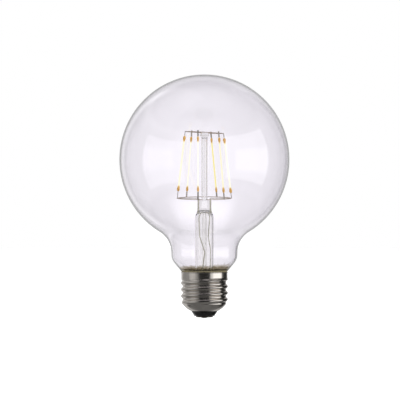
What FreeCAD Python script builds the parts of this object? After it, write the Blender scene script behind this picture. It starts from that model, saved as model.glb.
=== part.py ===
import FreeCAD, Part
import math
import os
import re
import Sketcher

# A clear globe lamp, 95 mm across, with six filament strips in a tapered cage and an E27 screw cap.
# Millimetres. The origin is the outer end of the centre contact, on the lamp's axis, and +Z points to the crown.

SIZES = {
    # blown glass envelope
    "globe_radius": 47.5,
    "glass_wall": 0.8,
    "neck_radius": 18.4,
    "shoulder_radius": 13.75,
    "neck_length": 1.0734,
    "throat_angle": 39.5,
    "throat_bend_radius": 7.0,
    "throat_radius": 13.1,
    "throat_height": 26.35,
    "tail_clearance": 0.25,
    "tail_bottom": 19.6,
    # rolled screw shell
    "shell_wall": 0.3,
    "shell_root_radius": 12.1,
    "thread_depth": 1.05,
    "thread_pitch": 3.629,
    "thread_round_radius": 1.03,
    "thread_start_height": 7.92,
    "thread_start_angle": -250.0,
    "thread_turns": 3.45,
    "thread_run_in_angle": 150.0,
    "thread_run_in_depth": 1.3,
    "lip_radius": 7.4,
    "lip_height": 3.85,
    "lip_bow_radius": 9.7,
    "taper_top": 7.8,
    "ramp_bottom": 21.0,
    "ramp_top": 22.9,
    "skirt_radius": 12.87,
    "rim_height": 25.75,
    "rim_bead_height": 0.55,
    "rim_bead_radius": 0.3,
    # insulator and centre contact
    "insulator_face_radius": 5.65,
    "insulator_face_height": 1.1,
    "insulator_top": 6.2,
    "contact_radius": 4.9,
    "contact_height": 0.45,
    "eyelet_radius": 1.4,
    "eyelet_wall": 0.3,
    "solder_radius": 1.9,
    "solder_flat_radius": 0.8,
    "solder_top": 2.5,
    # glass stem with its pressed top
    "stem_radius": 5.25,
    "stem_wall": 1.0,
    "stem_shoulder_radius": 3.4,
    "press_width": 7.8,
    "press_thickness": 3.5,
    "press_height": 5.9,
    "press_sink": 0.9,
    "flare_top": 30.0,
    "flare_bend_radius": 9.0,
    "flare_rim": 1.0,
    "exhaust_radius": 1.45,
    "exhaust_wall": 0.7,
    "exhaust_tip": 15.6,
    "vent_radius": 0.7,
    "vent_rise": 2.3,
    "lead_radius": 0.3,
    "lead_bend_radius": 2.0,
    "lead_spread": 3.1,
    # glass rod and the wire frames that it and the leads carry
    "rod_radius": 1.75,
    "button_radius": 2.5,
    "button_height": 2.8,
    "button_neck": 0.8,
    "button_round": 0.6,
    "cage_over_centre": 15.1,
    "frame_wire_radius": 0.28,
    "lower_frame_radius": 15.0,
    "lower_frame_rise": 0.7,
    "lower_frame_tilt_angle": 3.0,
    "lower_frame_gap_angle": 8.0,
    "upper_ring_radius": 10.5,
    "upper_ring_tilt_angle": 3.1,
    # filament strips and their tabs
    "filament_phase_angle": 10.6,
    "filament_length": 31.2,
    "filament_width": 1.6,
    "filament_thickness": 1.15,
    "filament_end_round": 0.4,
    "lower_tab_length": 3.275,
    "upper_tab_length": 2.5,
    "tab_width": 0.8,
    "tab_thickness": 0.25,
    "tab_tip": 0.9,
    "side_tab_tip": 0.25,
    "weld_clearance": 0.03,
    "near_foot_angle": 6.2,
    "far_foot_angle": -7.9,
    "right_foot_angle": 4.9,
    "right_head_angle": 6.0,
    # driver inside the cap
    "board_height": 8.6,
    "board_thickness": 1.0,
    "board_clearance": 0.2,
    "capacitor_radius": 2.8,
    "capacitor_height": 5.0,
    "capacitor_edge_round": 0.35,
    "capacitor_angle": 140.0,
    "rectifier_length": 4.8,
    "rectifier_width": 4.0,
    "rectifier_height": 1.5,
    "rectifier_angle": -50.0,
    "chip_length": 5.0,
    "chip_width": 3.9,
    "chip_height": 1.6,
    "resistor_radius": 1.0,
    "resistor_length": 5.0,
    "component_ring_radius": 7.0,
    "shell_wire_length": 5.0,
    "shell_wire_angle": 225.0,
    "wall_wire_clearance": 0.05,
}


# Heights, radii and centres that follow from the sizes above
THROAT_RUN = "(neck_radius - throat_radius - throat_bend_radius*(1 - cos(throat_angle)))"
THROAT_DROP = f"({THROAT_RUN}/tan(throat_angle) + throat_bend_radius*sin(throat_angle))"
BEND_TOP = f"(throat_height + {THROAT_DROP})"
SHOULDER_HEIGHT = f"({BEND_TOP} + neck_length)"
ARCS_APART = "(globe_radius + shoulder_radius)"
SHOULDER_OUT = "(neck_radius + shoulder_radius)"
SHOULDER_DROP = f"sqrt({ARCS_APART}^2 - {SHOULDER_OUT}^2)"
GLOBE_CENTRE = f"({SHOULDER_HEIGHT} + {SHOULDER_DROP})"
OVERALL_HEIGHT = f"({GLOBE_CENTRE} + globe_radius)"
CAGE_TOP = f"({GLOBE_CENTRE} + cage_over_centre)"
STRIP_REACH = "(filament_length + lower_tab_length + upper_tab_length)"
CAGE_HEIGHT = f"sqrt({STRIP_REACH}^2 - (lower_frame_radius - upper_ring_radius)^2)"
LOWER_FRAME_HEIGHT = f"({CAGE_TOP} - {CAGE_HEIGHT})"
PRESS_TOP = f"({LOWER_FRAME_HEIGHT} - lower_frame_rise)"
STEM_TOP = f"({PRESS_TOP} - press_height)"
SHELL_INSIDE = "(shell_root_radius - shell_wall)"
TAIL_RADIUS = f"({SHELL_INSIDE} - tail_clearance)"
TAIL_INSIDE = f"({TAIL_RADIUS} - glass_wall)"
THROAT_FILLET = f"(throat_radius - {TAIL_RADIUS})"
TAIL_TOP = f"(throat_height - {THROAT_FILLET})"
LIP_RUN = "(shell_root_radius - lip_radius)"
LIP_RISE = "(taper_top - lip_height)"
LIP_CHORD = f"sqrt({LIP_RUN}^2 + {LIP_RISE}^2)"
LIP_INSET = f"sqrt(lip_bow_radius^2 - {LIP_CHORD}^2/4)"
BOW_CENTRE = (
    f"((shell_root_radius + lip_radius)/2 - {LIP_INSET}*{LIP_RISE}/{LIP_CHORD})",
    f"((taper_top + lip_height)/2 + {LIP_INSET}*{LIP_RUN}/{LIP_CHORD})",
)
BOW_INSIDE = "(lip_bow_radius - shell_wall)"
LIP_INSIDE = (
    f"({BOW_CENTRE[0]} + {BOW_INSIDE}/lip_bow_radius*(lip_radius - {BOW_CENTRE[0]}))",
    f"({BOW_CENTRE[1]} + {BOW_INSIDE}/lip_bow_radius*(lip_height - {BOW_CENTRE[1]}))",
)
TAPER_INSIDE_TOP = f"({BOW_CENTRE[1]} - sqrt({BOW_INSIDE}^2 - ({SHELL_INSIDE} - {BOW_CENTRE[0]})^2))"
SKIRT_INSIDE = "(skirt_radius - shell_wall)"
RAMP_ANGLE = "atan((skirt_radius - shell_root_radius)/(ramp_top - ramp_bottom))"
RAMP_SHIFT = f"(shell_wall*tan({RAMP_ANGLE}/2))"
SEAT_DROP = f"sqrt(flare_bend_radius^2 - (flare_bend_radius - {TAIL_INSIDE} + stem_radius)^2)"
SEAT_HEIGHT = f"(flare_top - {SEAT_DROP})"
FLARE_INSIDE_RADIUS = "(flare_bend_radius + stem_wall)"
FLARE_LIP_INSIDE = (
    f"(stem_radius + flare_bend_radius - sqrt({FLARE_INSIDE_RADIUS}^2 - ({SEAT_DROP} + flare_rim)^2))"
)
BOARD_TOP = "(board_height + board_thickness)"


def bound(text):
    """The same expression with each size read from the sheet."""
    return re.sub(r"[a-z_]+", lambda word: f"Sizes.{word[0]}" if word[0] in SIZES else word[0], text)


def size_sheet(doc):
    sheet = doc.addObject("Spreadsheet::Sheet", "Sizes")
    for row, (name, value) in enumerate(SIZES.items(), start=1):
        sheet.set(f"A{row}", name.replace("_", " "))
        sheet.set(f"B{row}", str(value))
        sheet.setAlias(f"B{row}", name)
    doc.recompute()
    return sheet


def value(doc, text):
    return float(doc.Sizes.evalExpression(bound(str(text))))


def point(doc, corner):
    return FreeCAD.Vector(value(doc, corner[0]), value(doc, corner[1]), 0)


def line_to(x, y):
    return (x, y), None, None


def arc_to(x, y, radius, side):
    """A short arc to a corner; side says where its centre lies for someone who walks along it."""
    return (x, y), radius, side


def arc_between(start, end, radius, side):
    middle = (start + end) / 2
    along = end - start
    left = FreeCAD.Vector(-along.y, along.x, 0).normalize()
    inset = math.sqrt(max(radius**2 - (along.Length / 2) ** 2, 0))
    centre = middle + left * (inset if side == "left" else -inset)
    first, last = (start, end) if side == "left" else (end, start)
    angles = [math.atan2(p.y - centre.y, p.x - centre.x) for p in (first, last)]
    circle = Part.Circle(centre, FreeCAD.Vector(0, 0, 1), radius)
    return Part.ArcOfCircle(circle, angles[0], angles[1])


def hold(doc, sketch, vertex, kind, axis, name, text):
    """Places one coordinate of a vertex by an expression, or on the axis where it is nought."""
    if text == "0":
        sketch.addConstraint(Sketcher.Constraint("PointOnObject", *vertex, axis))
        return
    sketch.addConstraint(Sketcher.Constraint(kind, *vertex, value(doc, text)))
    sketch.renameConstraint(sketch.ConstraintCount - 1, name)
    sketch.setExpression(f"Constraints.{name}", bound(text))


def attached_sketch(body, name, role):
    sketch = body.newObject("Sketcher::SketchObject", name)
    plane = next(part for part in body.Origin.OriginFeatures if part.Role == role)
    sketch.AttachmentSupport = [(plane, "")]
    sketch.MapMode = "FlatFace"
    return sketch


def draw_outline(doc, sketch, start, steps):
    """Draws a closed outline of lines and arcs, each corner held at its two expressions."""
    corners = [start] + [step[0] for step in steps]
    closing = corners[-1] == start
    if closing:
        corners.pop()
    else:
        steps = [*steps, line_to(*start)]
    first_vertices = []
    last_vertices = []
    for index, (target, radius, side) in enumerate(steps):
        begin = point(doc, corners[index])
        end = point(doc, target)
        if radius is None:
            sketch.addGeometry(Part.LineSegment(begin, end), False)
        else:
            sketch.addGeometry(arc_between(begin, end, value(doc, radius), side), False)
        turned_back = side == "right"
        first_vertices.append((index, 2 if turned_back else 1))
        last_vertices.append((index, 1 if turned_back else 2))
    for index in range(len(steps)):
        sketch.addConstraint(Sketcher.Constraint("Coincident", *last_vertices[index - 1], *first_vertices[index]))
    for index, (x, y) in enumerate(corners):
        hold(doc, sketch, first_vertices[index], "DistanceX", -2, f"across_{index}", x)
        hold(doc, sketch, first_vertices[index], "DistanceY", -1, f"up_{index}", y)
    for index, (target, radius, side) in enumerate(steps):
        if radius is not None:
            sketch.addConstraint(Sketcher.Constraint("Radius", index, value(doc, radius)))
            sketch.renameConstraint(sketch.ConstraintCount - 1, f"bend_{index}")
            sketch.setExpression(f"Constraints.bend_{index}", bound(radius))


def turned_body(doc, label, start, steps):
    """A body spun about Z from an outline of radius and height."""
    body = doc.addObject("PartDesign::Body", label)
    sketch = attached_sketch(body, f"{label}_section", "XZ_Plane")
    draw_outline(doc, sketch, start, steps)
    spin = body.newObject("PartDesign::Revolution", f"{label}_spin")
    spin.Profile = sketch
    spin.ReferenceAxis = (sketch, ["V_Axis"])
    spin.Angle = 360
    return body


def flat_sketch(doc, body, name, height):
    """A sketch on the body's XY plane, raised to a height."""
    sketch = attached_sketch(body, name, "XY_Plane")
    sketch.setExpression("AttachmentOffset.Base.z", bound(height))
    return sketch


def draw_circle(doc, sketch, x, y, radius):
    """A circle in a sketch, held by its centre and radius."""
    centre = FreeCAD.Vector(value(doc, x), value(doc, y), 0)
    index = sketch.addGeometry(Part.Circle(centre, FreeCAD.Vector(0, 0, 1), value(doc, radius)), False)
    hold(doc, sketch, (index, 3), "DistanceX", -2, f"across_{index}", x)
    hold(doc, sketch, (index, 3), "DistanceY", -1, f"up_{index}", y)
    sketch.addConstraint(Sketcher.Constraint("Radius", index, value(doc, radius)))
    sketch.renameConstraint(sketch.ConstraintCount - 1, f"bend_{index}")
    sketch.setExpression(f"Constraints.bend_{index}", bound(radius))


def draw_slot(doc, sketch, width, thickness):
    """A straight slot outline, centred, with half-round ends."""
    half_flat = f"(({width})/2 - ({thickness})/2)"
    half_thick = f"(({thickness})/2)"
    quarter_out = f"(({width})/2)"
    draw_outline(
        doc,
        sketch,
        (f"-{half_flat}", f"-{half_thick}"),
        [
            line_to(half_flat, f"-{half_thick}"),
            arc_to(quarter_out, "0", half_thick, "left"),
            arc_to(half_flat, half_thick, half_thick, "left"),
            line_to(f"-{half_flat}", half_thick),
            arc_to(f"-{quarter_out}", "0", half_thick, "left"),
            arc_to(f"-{half_flat}", f"-{half_thick}", half_thick, "left"),
        ],
    )


def block(doc, label, length, width, height, x, y, z):
    """A box centred on x and y that stands on z."""
    box = doc.addObject("Part::Box", label)
    box.setExpression("Length", bound(length))
    box.setExpression("Width", bound(width))
    box.setExpression("Height", bound(height))
    box.setExpression("Placement.Base.x", bound(f"{x} - ({length})/2"))
    box.setExpression("Placement.Base.y", bound(f"{y} - ({width})/2"))
    box.setExpression("Placement.Base.z", bound(z))
    return box


def upright_cylinder(doc, label, radius, height, x, y, z):
    cylinder = doc.addObject("Part::Cylinder", label)
    cylinder.setExpression("Radius", bound(radius))
    cylinder.setExpression("Height", bound(height))
    cylinder.setExpression("Placement.Base.x", bound(x))
    cylinder.setExpression("Placement.Base.y", bound(y))
    cylinder.setExpression("Placement.Base.z", bound(z))
    return cylinder


# The blown envelope: sphere, hollow shoulder, straight neck, rounded throat, and the tail inside the cap
def glass_envelope(doc):
    def on_globe(radius):
        share = f"({radius})/{ARCS_APART}"
        return f"{SHOULDER_OUT}*{share}", f"{GLOBE_CENTRE} - {SHOULDER_DROP}*{share}"

    def on_bend(radius):
        across = f"neck_radius - throat_bend_radius + ({radius})*cos(throat_angle)"
        return across, f"{BEND_TOP} - ({radius})*sin(throat_angle)"

    inside = "globe_radius - glass_wall"
    bend_inside = "throat_bend_radius - glass_wall"
    return turned_body(
        doc,
        "glass_envelope",
        ("0", OVERALL_HEIGHT),
        [
            arc_to(*on_globe("globe_radius"), "globe_radius", "right"),
            arc_to("neck_radius", SHOULDER_HEIGHT, "shoulder_radius", "left"),
            line_to("neck_radius", BEND_TOP),
            arc_to(*on_bend("throat_bend_radius"), "throat_bend_radius", "right"),
            line_to("throat_radius", "throat_height"),
            arc_to(TAIL_RADIUS, TAIL_TOP, THROAT_FILLET, "left"),
            line_to(TAIL_RADIUS, "tail_bottom"),
            line_to(TAIL_INSIDE, "tail_bottom"),
            line_to(TAIL_INSIDE, TAIL_TOP),
            arc_to(
                "throat_radius - glass_wall*cos(throat_angle)",
                "throat_height + glass_wall*sin(throat_angle)",
                f"{THROAT_FILLET} + glass_wall",
                "right",
            ),
            line_to(*on_bend(bend_inside)),
            arc_to("neck_radius - glass_wall", BEND_TOP, bend_inside, "left"),
            line_to("neck_radius - glass_wall", SHOULDER_HEIGHT),
            arc_to(*on_globe(inside), "shoulder_radius + glass_wall", "right"),
            arc_to("0", f"{OVERALL_HEIGHT} - glass_wall", inside, "left"),
        ],
    )


# The flared stem tube, its pressed top with the two lead holes, and the pumping vent
def stem_tube(doc):
    flat = "stem_radius - stem_shoulder_radius"
    body = turned_body(
        doc,
        "stem_tube",
        ("0", STEM_TOP),
        [
            line_to(flat, STEM_TOP),
            arc_to("stem_radius", f"{STEM_TOP} - stem_shoulder_radius", "stem_shoulder_radius", "right"),
            line_to("stem_radius", "flare_top"),
            arc_to(TAIL_INSIDE, SEAT_HEIGHT, "flare_bend_radius", "left"),
            line_to(TAIL_INSIDE, f"{SEAT_HEIGHT} - flare_rim"),
            line_to(FLARE_LIP_INSIDE, f"{SEAT_HEIGHT} - flare_rim"),
            arc_to("stem_radius - stem_wall", "flare_top", FLARE_INSIDE_RADIUS, "right"),
            line_to("stem_radius - stem_wall", f"{STEM_TOP} - stem_shoulder_radius"),
            arc_to(flat, f"{STEM_TOP} - stem_wall", "stem_shoulder_radius - stem_wall", "left"),
            line_to("0", f"{STEM_TOP} - stem_wall"),
        ],
    )
    press_sketch = flat_sketch(doc, body, "press_section", f"{STEM_TOP} - press_sink")
    draw_slot(doc, press_sketch, "press_width", "press_thickness")
    press = body.newObject("PartDesign::Pad", "press")
    press.Profile = press_sketch
    press.setExpression("Length", bound("press_height + press_sink"))

    holes_sketch = flat_sketch(doc, body, "lead_hole_section", PRESS_TOP)
    draw_circle(doc, holes_sketch, "-lead_spread", "0", "lead_radius")
    draw_circle(doc, holes_sketch, "lead_spread", "0", "lead_radius")
    holes = body.newObject("PartDesign::Pocket", "lead_holes")
    holes.Profile = holes_sketch
    holes.setExpression("Length", bound("press_height + stem_shoulder_radius"))

    vent_sketch = flat_sketch(doc, body, "vent_section", f"{STEM_TOP} + vent_rise")
    draw_circle(doc, vent_sketch, "0", "0", "vent_radius")
    vent = body.newObject("PartDesign::Pocket", "vent")
    vent.Profile = vent_sketch
    vent.setExpression("Length", bound("vent_rise + stem_wall"))

    port_sketch = attached_sketch(body, "port_section", "XZ_Plane")
    draw_circle(doc, port_sketch, "0", f"{STEM_TOP} + vent_rise", "vent_radius")
    port = body.newObject("PartDesign::Pocket", "vent_port")
    port.Profile = port_sketch
    port.Reversed = True
    port.setExpression("Length", bound("press_thickness"))
    return body


# The thin pumping tube, sealed off to a rounded tip inside the cap
def exhaust_tube(doc):
    bore = "exhaust_radius - exhaust_wall"
    return turned_body(
        doc,
        "exhaust_tube",
        (bore, f"{STEM_TOP} - stem_wall"),
        [
            line_to("exhaust_radius", f"{STEM_TOP} - stem_wall"),
            line_to("exhaust_radius", "exhaust_tip + exhaust_radius"),
            arc_to("0", "exhaust_tip", "exhaust_radius", "right"),
            line_to("0", "exhaust_tip + exhaust_radius"),
            line_to(bore, "exhaust_tip + exhaust_radius + exhaust_wall"),
        ],
    )


# The wire frames are placed once here, so that the filament tabs find the same wires
def upper_ring_placement(doc):
    tilt = FreeCAD.Rotation(FreeCAD.Vector(0, 1, 0), value(doc, "upper_ring_tilt_angle"))
    return FreeCAD.Placement(FreeCAD.Vector(0, 0, value(doc, CAGE_TOP)), tilt)


def lower_frame_placement(doc):
    tilt = FreeCAD.Rotation(FreeCAD.Vector(1, 0, 0), value(doc, "lower_frame_tilt_angle"))
    return FreeCAD.Placement(FreeCAD.Vector(0, 0, value(doc, LOWER_FRAME_HEIGHT)), tilt)


def crossbar(doc, name, place):
    """A straight wire across the upper ring, through its middle."""
    bar = doc.addObject("Part::Cylinder", name)
    bar.setExpression("Radius", bound("frame_wire_radius"))
    bar.setExpression("Height", bound("2*upper_ring_radius"))
    along_x = FreeCAD.Rotation(FreeCAD.Vector(0, 1, 0), 90)
    start = FreeCAD.Placement(FreeCAD.Vector(-value(doc, "upper_ring_radius"), 0, 0), along_x)
    bar.Placement = place.multiply(start)
    return bar


# The glass rod that stands on the press, with its flattened button grooved for the ring's crossbar
def centre_rod(doc):
    body = turned_body(
        doc,
        "rod_blank",
        ("0", PRESS_TOP),
        [
            line_to("rod_radius", PRESS_TOP),
            line_to("rod_radius", f"{CAGE_TOP} - button_height"),
            line_to("button_radius", f"{CAGE_TOP} - button_height + button_neck"),
            line_to("button_radius", f"{CAGE_TOP} - button_round"),
            arc_to("button_radius - button_round", CAGE_TOP, "button_round", "left"),
            line_to("0", CAGE_TOP),
        ],
    )
    groove = crossbar(doc, "button_groove", upper_ring_placement(doc))
    rod = doc.addObject("Part::Cut", "centre_rod")
    rod.Base = body
    rod.Tool = groove
    return rod


def upper_ring(doc):
    place = upper_ring_placement(doc)
    hoop = doc.addObject("Part::Torus", "ring_hoop")
    hoop.setExpression("Radius1", bound("upper_ring_radius"))
    hoop.setExpression("Radius2", bound("frame_wire_radius"))
    seam_clear_of_bar = FreeCAD.Rotation(FreeCAD.Vector(0, 0, 1), 90)
    hoop.Placement = place.multiply(FreeCAD.Placement(FreeCAD.Vector(), seam_clear_of_bar))
    ring = doc.addObject("Part::Fuse", "upper_ring")
    ring.Base = hoop
    ring.Tool = crossbar(doc, "ring_bar", place)
    return ring


# Each half of the lower frame: an arc of wire, a spoke to the press, and a leg down to its lead
def lower_frame_half(doc, label, side):
    """One half of the lower frame; side is -1 for the left half and 1 for the right one."""
    spread = value(doc, "lead_spread")
    height = value(doc, LOWER_FRAME_HEIGHT)
    place = lower_frame_placement(doc)
    arc = doc.addObject("Part::Torus", f"{label}_arc")
    arc.setExpression("Radius1", bound("lower_frame_radius"))
    arc.setExpression("Radius2", bound("frame_wire_radius"))
    arc.setExpression("Angle3", bound("180 - lower_frame_gap_angle"))
    first_angle = (90 if side < 0 else -90) + value(doc, "lower_frame_gap_angle") / 2
    arc.Placement = place.multiply(
        FreeCAD.Placement(FreeCAD.Vector(), FreeCAD.Rotation(FreeCAD.Vector(0, 0, 1), first_angle))
    )
    spoke = doc.addObject("Part::Cylinder", f"{label}_spoke")
    spoke.setExpression("Radius", bound("frame_wire_radius"))
    spoke.setExpression("Height", bound("lower_frame_radius - lead_spread"))
    outward = FreeCAD.Rotation(FreeCAD.Vector(0, 1, 0), 90 * side)
    spoke.Placement = FreeCAD.Placement(FreeCAD.Vector(side * spread, 0, height), outward)
    corner = doc.addObject("Part::Sphere", f"{label}_corner")
    corner.setExpression("Radius", bound("frame_wire_radius"))
    corner.Placement.Base = FreeCAD.Vector(side * spread, 0, height)
    leg = upright_cylinder(
        doc,
        f"{label}_leg",
        "frame_wire_radius",
        "lower_frame_rise",
        f"{side}*lead_spread",
        "0",
        PRESS_TOP,
    )
    frame = doc.addObject("Part::MultiFuse", label)
    frame.Shapes = [arc, spoke, corner, leg]
    return frame


def wire_along(corners, bend_radius, wire_radius):
    """A round wire along straight runs that are joined by tangent arcs."""
    edges = []
    start = corners[0]
    for before, corner, after in zip(corners, corners[1:], corners[2:]):
        back = (before - corner).normalize()
        ahead = (after - corner).normalize()
        turn = math.pi - back.getAngle(ahead)
        cut = bend_radius * math.tan(turn / 2)
        arc_start = corner + back * cut
        arc_end = corner + ahead * cut
        towards_centre = (back + ahead).normalize()
        arc_middle = corner + towards_centre * (bend_radius / math.cos(turn / 2) - bend_radius)
        edges.append(Part.LineSegment(start, arc_start).toShape())
        edges.append(Part.Arc(arc_start, arc_middle, arc_end).toShape())
        start = arc_end
    edges.append(Part.LineSegment(start, corners[-1]).toShape())
    section = Part.Wire(Part.Circle(corners[0], corners[1] - corners[0], wire_radius).toShape())
    return Part.Wire(edges).makePipeShell([section], True, False)


# The two leads run from the press down through the stem to the driver board, bent by hand
def lead_wire(doc, label, top_x, route):
    """One lead; its route is in shares of the stem's bore, across, and of the way from the board to the press, up."""
    top = value(doc, PRESS_TOP)
    under_press = value(doc, f"{STEM_TOP} - stem_shoulder_radius")
    board = value(doc, BOARD_TOP)
    bore = value(doc, "stem_radius - stem_wall")
    corners = [FreeCAD.Vector(top_x, 0, top), FreeCAD.Vector(top_x, 0, under_press)]
    for across, back, up in route:
        corners.append(FreeCAD.Vector(across * bore, back * bore, board + up * (under_press - board)))
    corners.append(FreeCAD.Vector(corners[-1].x, corners[-1].y, board))
    wire = doc.addObject("Part::Feature", label)
    wire.Shape = wire_along(corners, value(doc, "lead_bend_radius"), value(doc, "lead_radius"))
    return wire


def lead_wires(doc):
    spread = value(doc, "lead_spread")
    left_route = [(-0.59, -0.45, 0.77), (0.05, -0.54, 0.57), (-0.33, -0.85, 0.31), (-0.71, -1.18, 0.09)]
    right_route = [(0.52, 0.4, 0.77), (0.83, 0.18, 0.61), (0.8, 0.56, 0.35), (1.08, 1.22, 0.09)]
    return [
        lead_wire(doc, "lead_wire_left", -spread, left_route),
        lead_wire(doc, "lead_wire_right", spread, right_route),
    ]


# The filaments lean inwards from the lower frame to the upper ring, with the small errors of hand mounting
def filament_line(doc, index):
    """Foot and head of one filament on the two wire frames."""
    foot_turns = {3: "near_foot_angle", 4: "far_foot_angle", 5: "right_foot_angle"}
    head_turns = {5: "right_head_angle"}
    stations = {6: 0, 4: 1, 2: 2, 1: 3, 3: 4, 5: 5}
    nominal = value(doc, "filament_phase_angle") + 60 * stations[index]
    foot_angle = math.radians(nominal + value(doc, foot_turns.get(index, "0")))
    head_angle = math.radians(nominal + value(doc, head_turns.get(index, "0")))
    low = value(doc, "lower_frame_radius")
    high = value(doc, "upper_ring_radius")
    foot = FreeCAD.Vector(low * math.cos(foot_angle), low * math.sin(foot_angle), 0)
    head = FreeCAD.Vector(high * math.cos(head_angle), high * math.sin(head_angle), 0)
    return lower_frame_placement(doc).multVec(foot), upper_ring_placement(doc).multVec(head)


def filament(doc, index):
    """One coated strip and its two welded tabs."""
    foot, head = filament_line(doc, index)
    along = (head - foot).normalize()
    middle = (head + foot) / 2
    radial = FreeCAD.Vector(middle.x, middle.y, 0).normalize()
    outward = (radial - along * radial.dot(along)).normalize()
    across = outward.cross(along)
    turn = FreeCAD.Rotation(across, outward, along, "ZYX")
    clear = value(doc, "frame_wire_radius + tab_thickness/2 + weld_clearance")
    reach = (head - foot).Length
    strip_top = reach - value(doc, "upper_tab_length")
    strip_bottom = strip_top - value(doc, "filament_length")
    tip = value(doc, "side_tab_tip" if index in (1, 6) else "tab_tip")
    low_tip = value(doc, "side_tab_tip")

    def place(height, x=0.0, y=0.0):
        base = foot + outward * (clear + y) + across * x + along * height
        return FreeCAD.Placement(base, turn)

    strip = doc.addObject("PartDesign::Body", f"filament_{index}")
    section = attached_sketch(strip, f"filament_{index}_section", "XY_Plane")
    draw_slot(doc, section, "filament_width", "filament_thickness")
    pad = strip.newObject("PartDesign::Pad", f"filament_{index}_pad")
    pad.Profile = section
    pad.setExpression("Length", bound("filament_length"))
    doc.recompute()
    ends = strip.newObject("PartDesign::Fillet", f"filament_{index}_ends")
    ends.Base = (pad, ["Face%d" % (n + 1) for n, face in enumerate(pad.Shape.Faces) if is_end_face(face)])
    ends.setExpression("Radius", bound("filament_end_round"))
    strip.Placement = place(strip_bottom)

    tabs = []
    for name, low, high in (("lower", -low_tip, strip_bottom), ("upper", strip_top, reach + tip)):
        tab = doc.addObject("Part::Box", f"filament_{index}_{name}_tab")
        tab.setExpression("Length", bound("tab_width"))
        tab.setExpression("Width", bound("tab_thickness"))
        tab.Height = high - low
        tab.Placement = place(low, -value(doc, "tab_width") / 2, -value(doc, "tab_thickness") / 2)
        tabs.append(tab)
    return [strip, *tabs]


def is_end_face(face):
    return abs(face.normalAt(0, 0).z) > 0.99


# The rolled screw shell: a thin sheet with the E27 thread pressed through it
def thread_wave(doc, sheet_offset, crest_angles, floor):
    """Corners of one thread ridge as height from its crest and radius, on the sheet's outer or inner side."""
    pitch = value(doc, "thread_pitch")
    round_radius = value(doc, "thread_round_radius")
    root = value(doc, "shell_root_radius")
    crest_centre = root + value(doc, "thread_depth") - round_radius
    root_centre = root + round_radius
    crest_round = round_radius - sheet_offset
    root_round = round_radius + sheet_offset
    upper = []
    for angle in crest_angles:
        turn = math.radians(angle)
        upper.append((crest_round * math.sin(turn), crest_centre + crest_round * math.cos(turn)))
    root_sink = value(doc, "shell_wall/3")
    for angle, sink in ((30, 0), (12, sheet_offset / 2 + root_sink)):
        turn = math.radians(angle)
        height = pitch / 2 - root_round * math.sin(turn)
        upper.append((height, root_centre - root_round * math.cos(turn) - sink))
    upper.append((upper[-1][0], floor))
    lower = [(-height, radius) for height, radius in reversed(upper) if height > 0]
    return upper + lower


def thread_ridge(doc, wave, floor):
    """A solid helical ridge with the given section, which sinks away at both ends."""
    pitch = value(doc, "thread_pitch")
    start_angle = value(doc, "thread_start_angle")
    sweep = 360 * value(doc, "thread_turns")
    run_in = value(doc, "thread_run_in_angle")
    depth = value(doc, "thread_run_in_depth")
    steps = round(sweep / 22.5)

    def helix(height, radius):
        points = []
        for step in range(steps + 1):
            swept = sweep * step / steps
            nearness = min(min(swept, sweep - swept) / run_in, 1)
            sunk = depth * (1 - nearness**2 * (3 - 2 * nearness)) if radius > floor else 0
            turn = math.radians(start_angle + swept)
            across = radius - sunk
            rise = value(doc, "thread_start_height") + height + pitch * swept / 360
            points.append(FreeCAD.Vector(across * math.cos(turn), across * math.sin(turn), rise))
        curve = Part.BSplineCurve()
        curve.interpolate(points)
        return curve.toShape()

    edges = [helix(height, radius) for height, radius in wave]
    faces = [Part.makeRuledSurface(edge, edges[(n + 1) % len(edges)]) for n, edge in enumerate(edges)]
    for end in (0, -1):
        corners = [edge.Vertexes[end].Point for edge in edges]
        faces.append(Part.Face(Part.makePolygon([*corners, corners[0]])))
    shell = Part.Shell(faces)
    shell.sewShape()
    return Part.Solid(shell)


def shell_blank(doc):
    """The outside of the shell, filled, from the lip at the insulator to the rim."""
    return turned_body(
        doc,
        "shell_blank",
        ("0", "lip_height"),
        [
            line_to("lip_radius", "lip_height"),
            arc_to("shell_root_radius", "taper_top", "lip_bow_radius", "left"),
            line_to("shell_root_radius", "ramp_bottom"),
            line_to("skirt_radius", "ramp_top"),
            line_to("skirt_radius", "rim_height - rim_bead_height"),
            arc_to("skirt_radius", "rim_height", "rim_bead_radius", "left"),
            line_to("0", "rim_height"),
        ],
    )


def shell_cavity(doc):
    """The space inside the shell, which runs past both of its ends."""
    past_lip = "(lip_height - shell_wall)"
    return turned_body(
        doc,
        "shell_cavity",
        ("0", past_lip),
        [
            line_to(f"{LIP_INSIDE[0]} - shell_wall", past_lip),
            line_to("lip_radius", "lip_height"),
            line_to(*LIP_INSIDE),
            arc_to(SHELL_INSIDE, TAPER_INSIDE_TOP, BOW_INSIDE, "left"),
            line_to(SHELL_INSIDE, f"ramp_bottom + {RAMP_SHIFT}"),
            line_to(SKIRT_INSIDE, f"ramp_top + {RAMP_SHIFT}"),
            line_to(SKIRT_INSIDE, "rim_height + shell_wall"),
            line_to("0", "rim_height + shell_wall"),
        ],
    )


def screw_shell(doc):
    wall = value(doc, "shell_wall")
    floor = value(doc, "lip_radius")
    outside = doc.addObject("Part::Feature", "thread_outside")
    outside.Shape = thread_ridge(doc, thread_wave(doc, 0, (0, 30, 60), floor), floor)
    inside = doc.addObject("Part::Feature", "thread_inside")
    inside.Shape = thread_ridge(doc, thread_wave(doc, wall, (0, 50), floor - wall), floor - wall)
    threaded = doc.addObject("Part::Fuse", "threaded_blank")
    threaded.Base = shell_blank(doc)
    threaded.Tool = outside
    cavity = doc.addObject("Part::Fuse", "threaded_cavity")
    cavity.Base = shell_cavity(doc)
    cavity.Tool = inside
    shell = doc.addObject("Part::Cut", "screw_shell")
    shell.Base = threaded
    shell.Tool = cavity
    return shell


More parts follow.
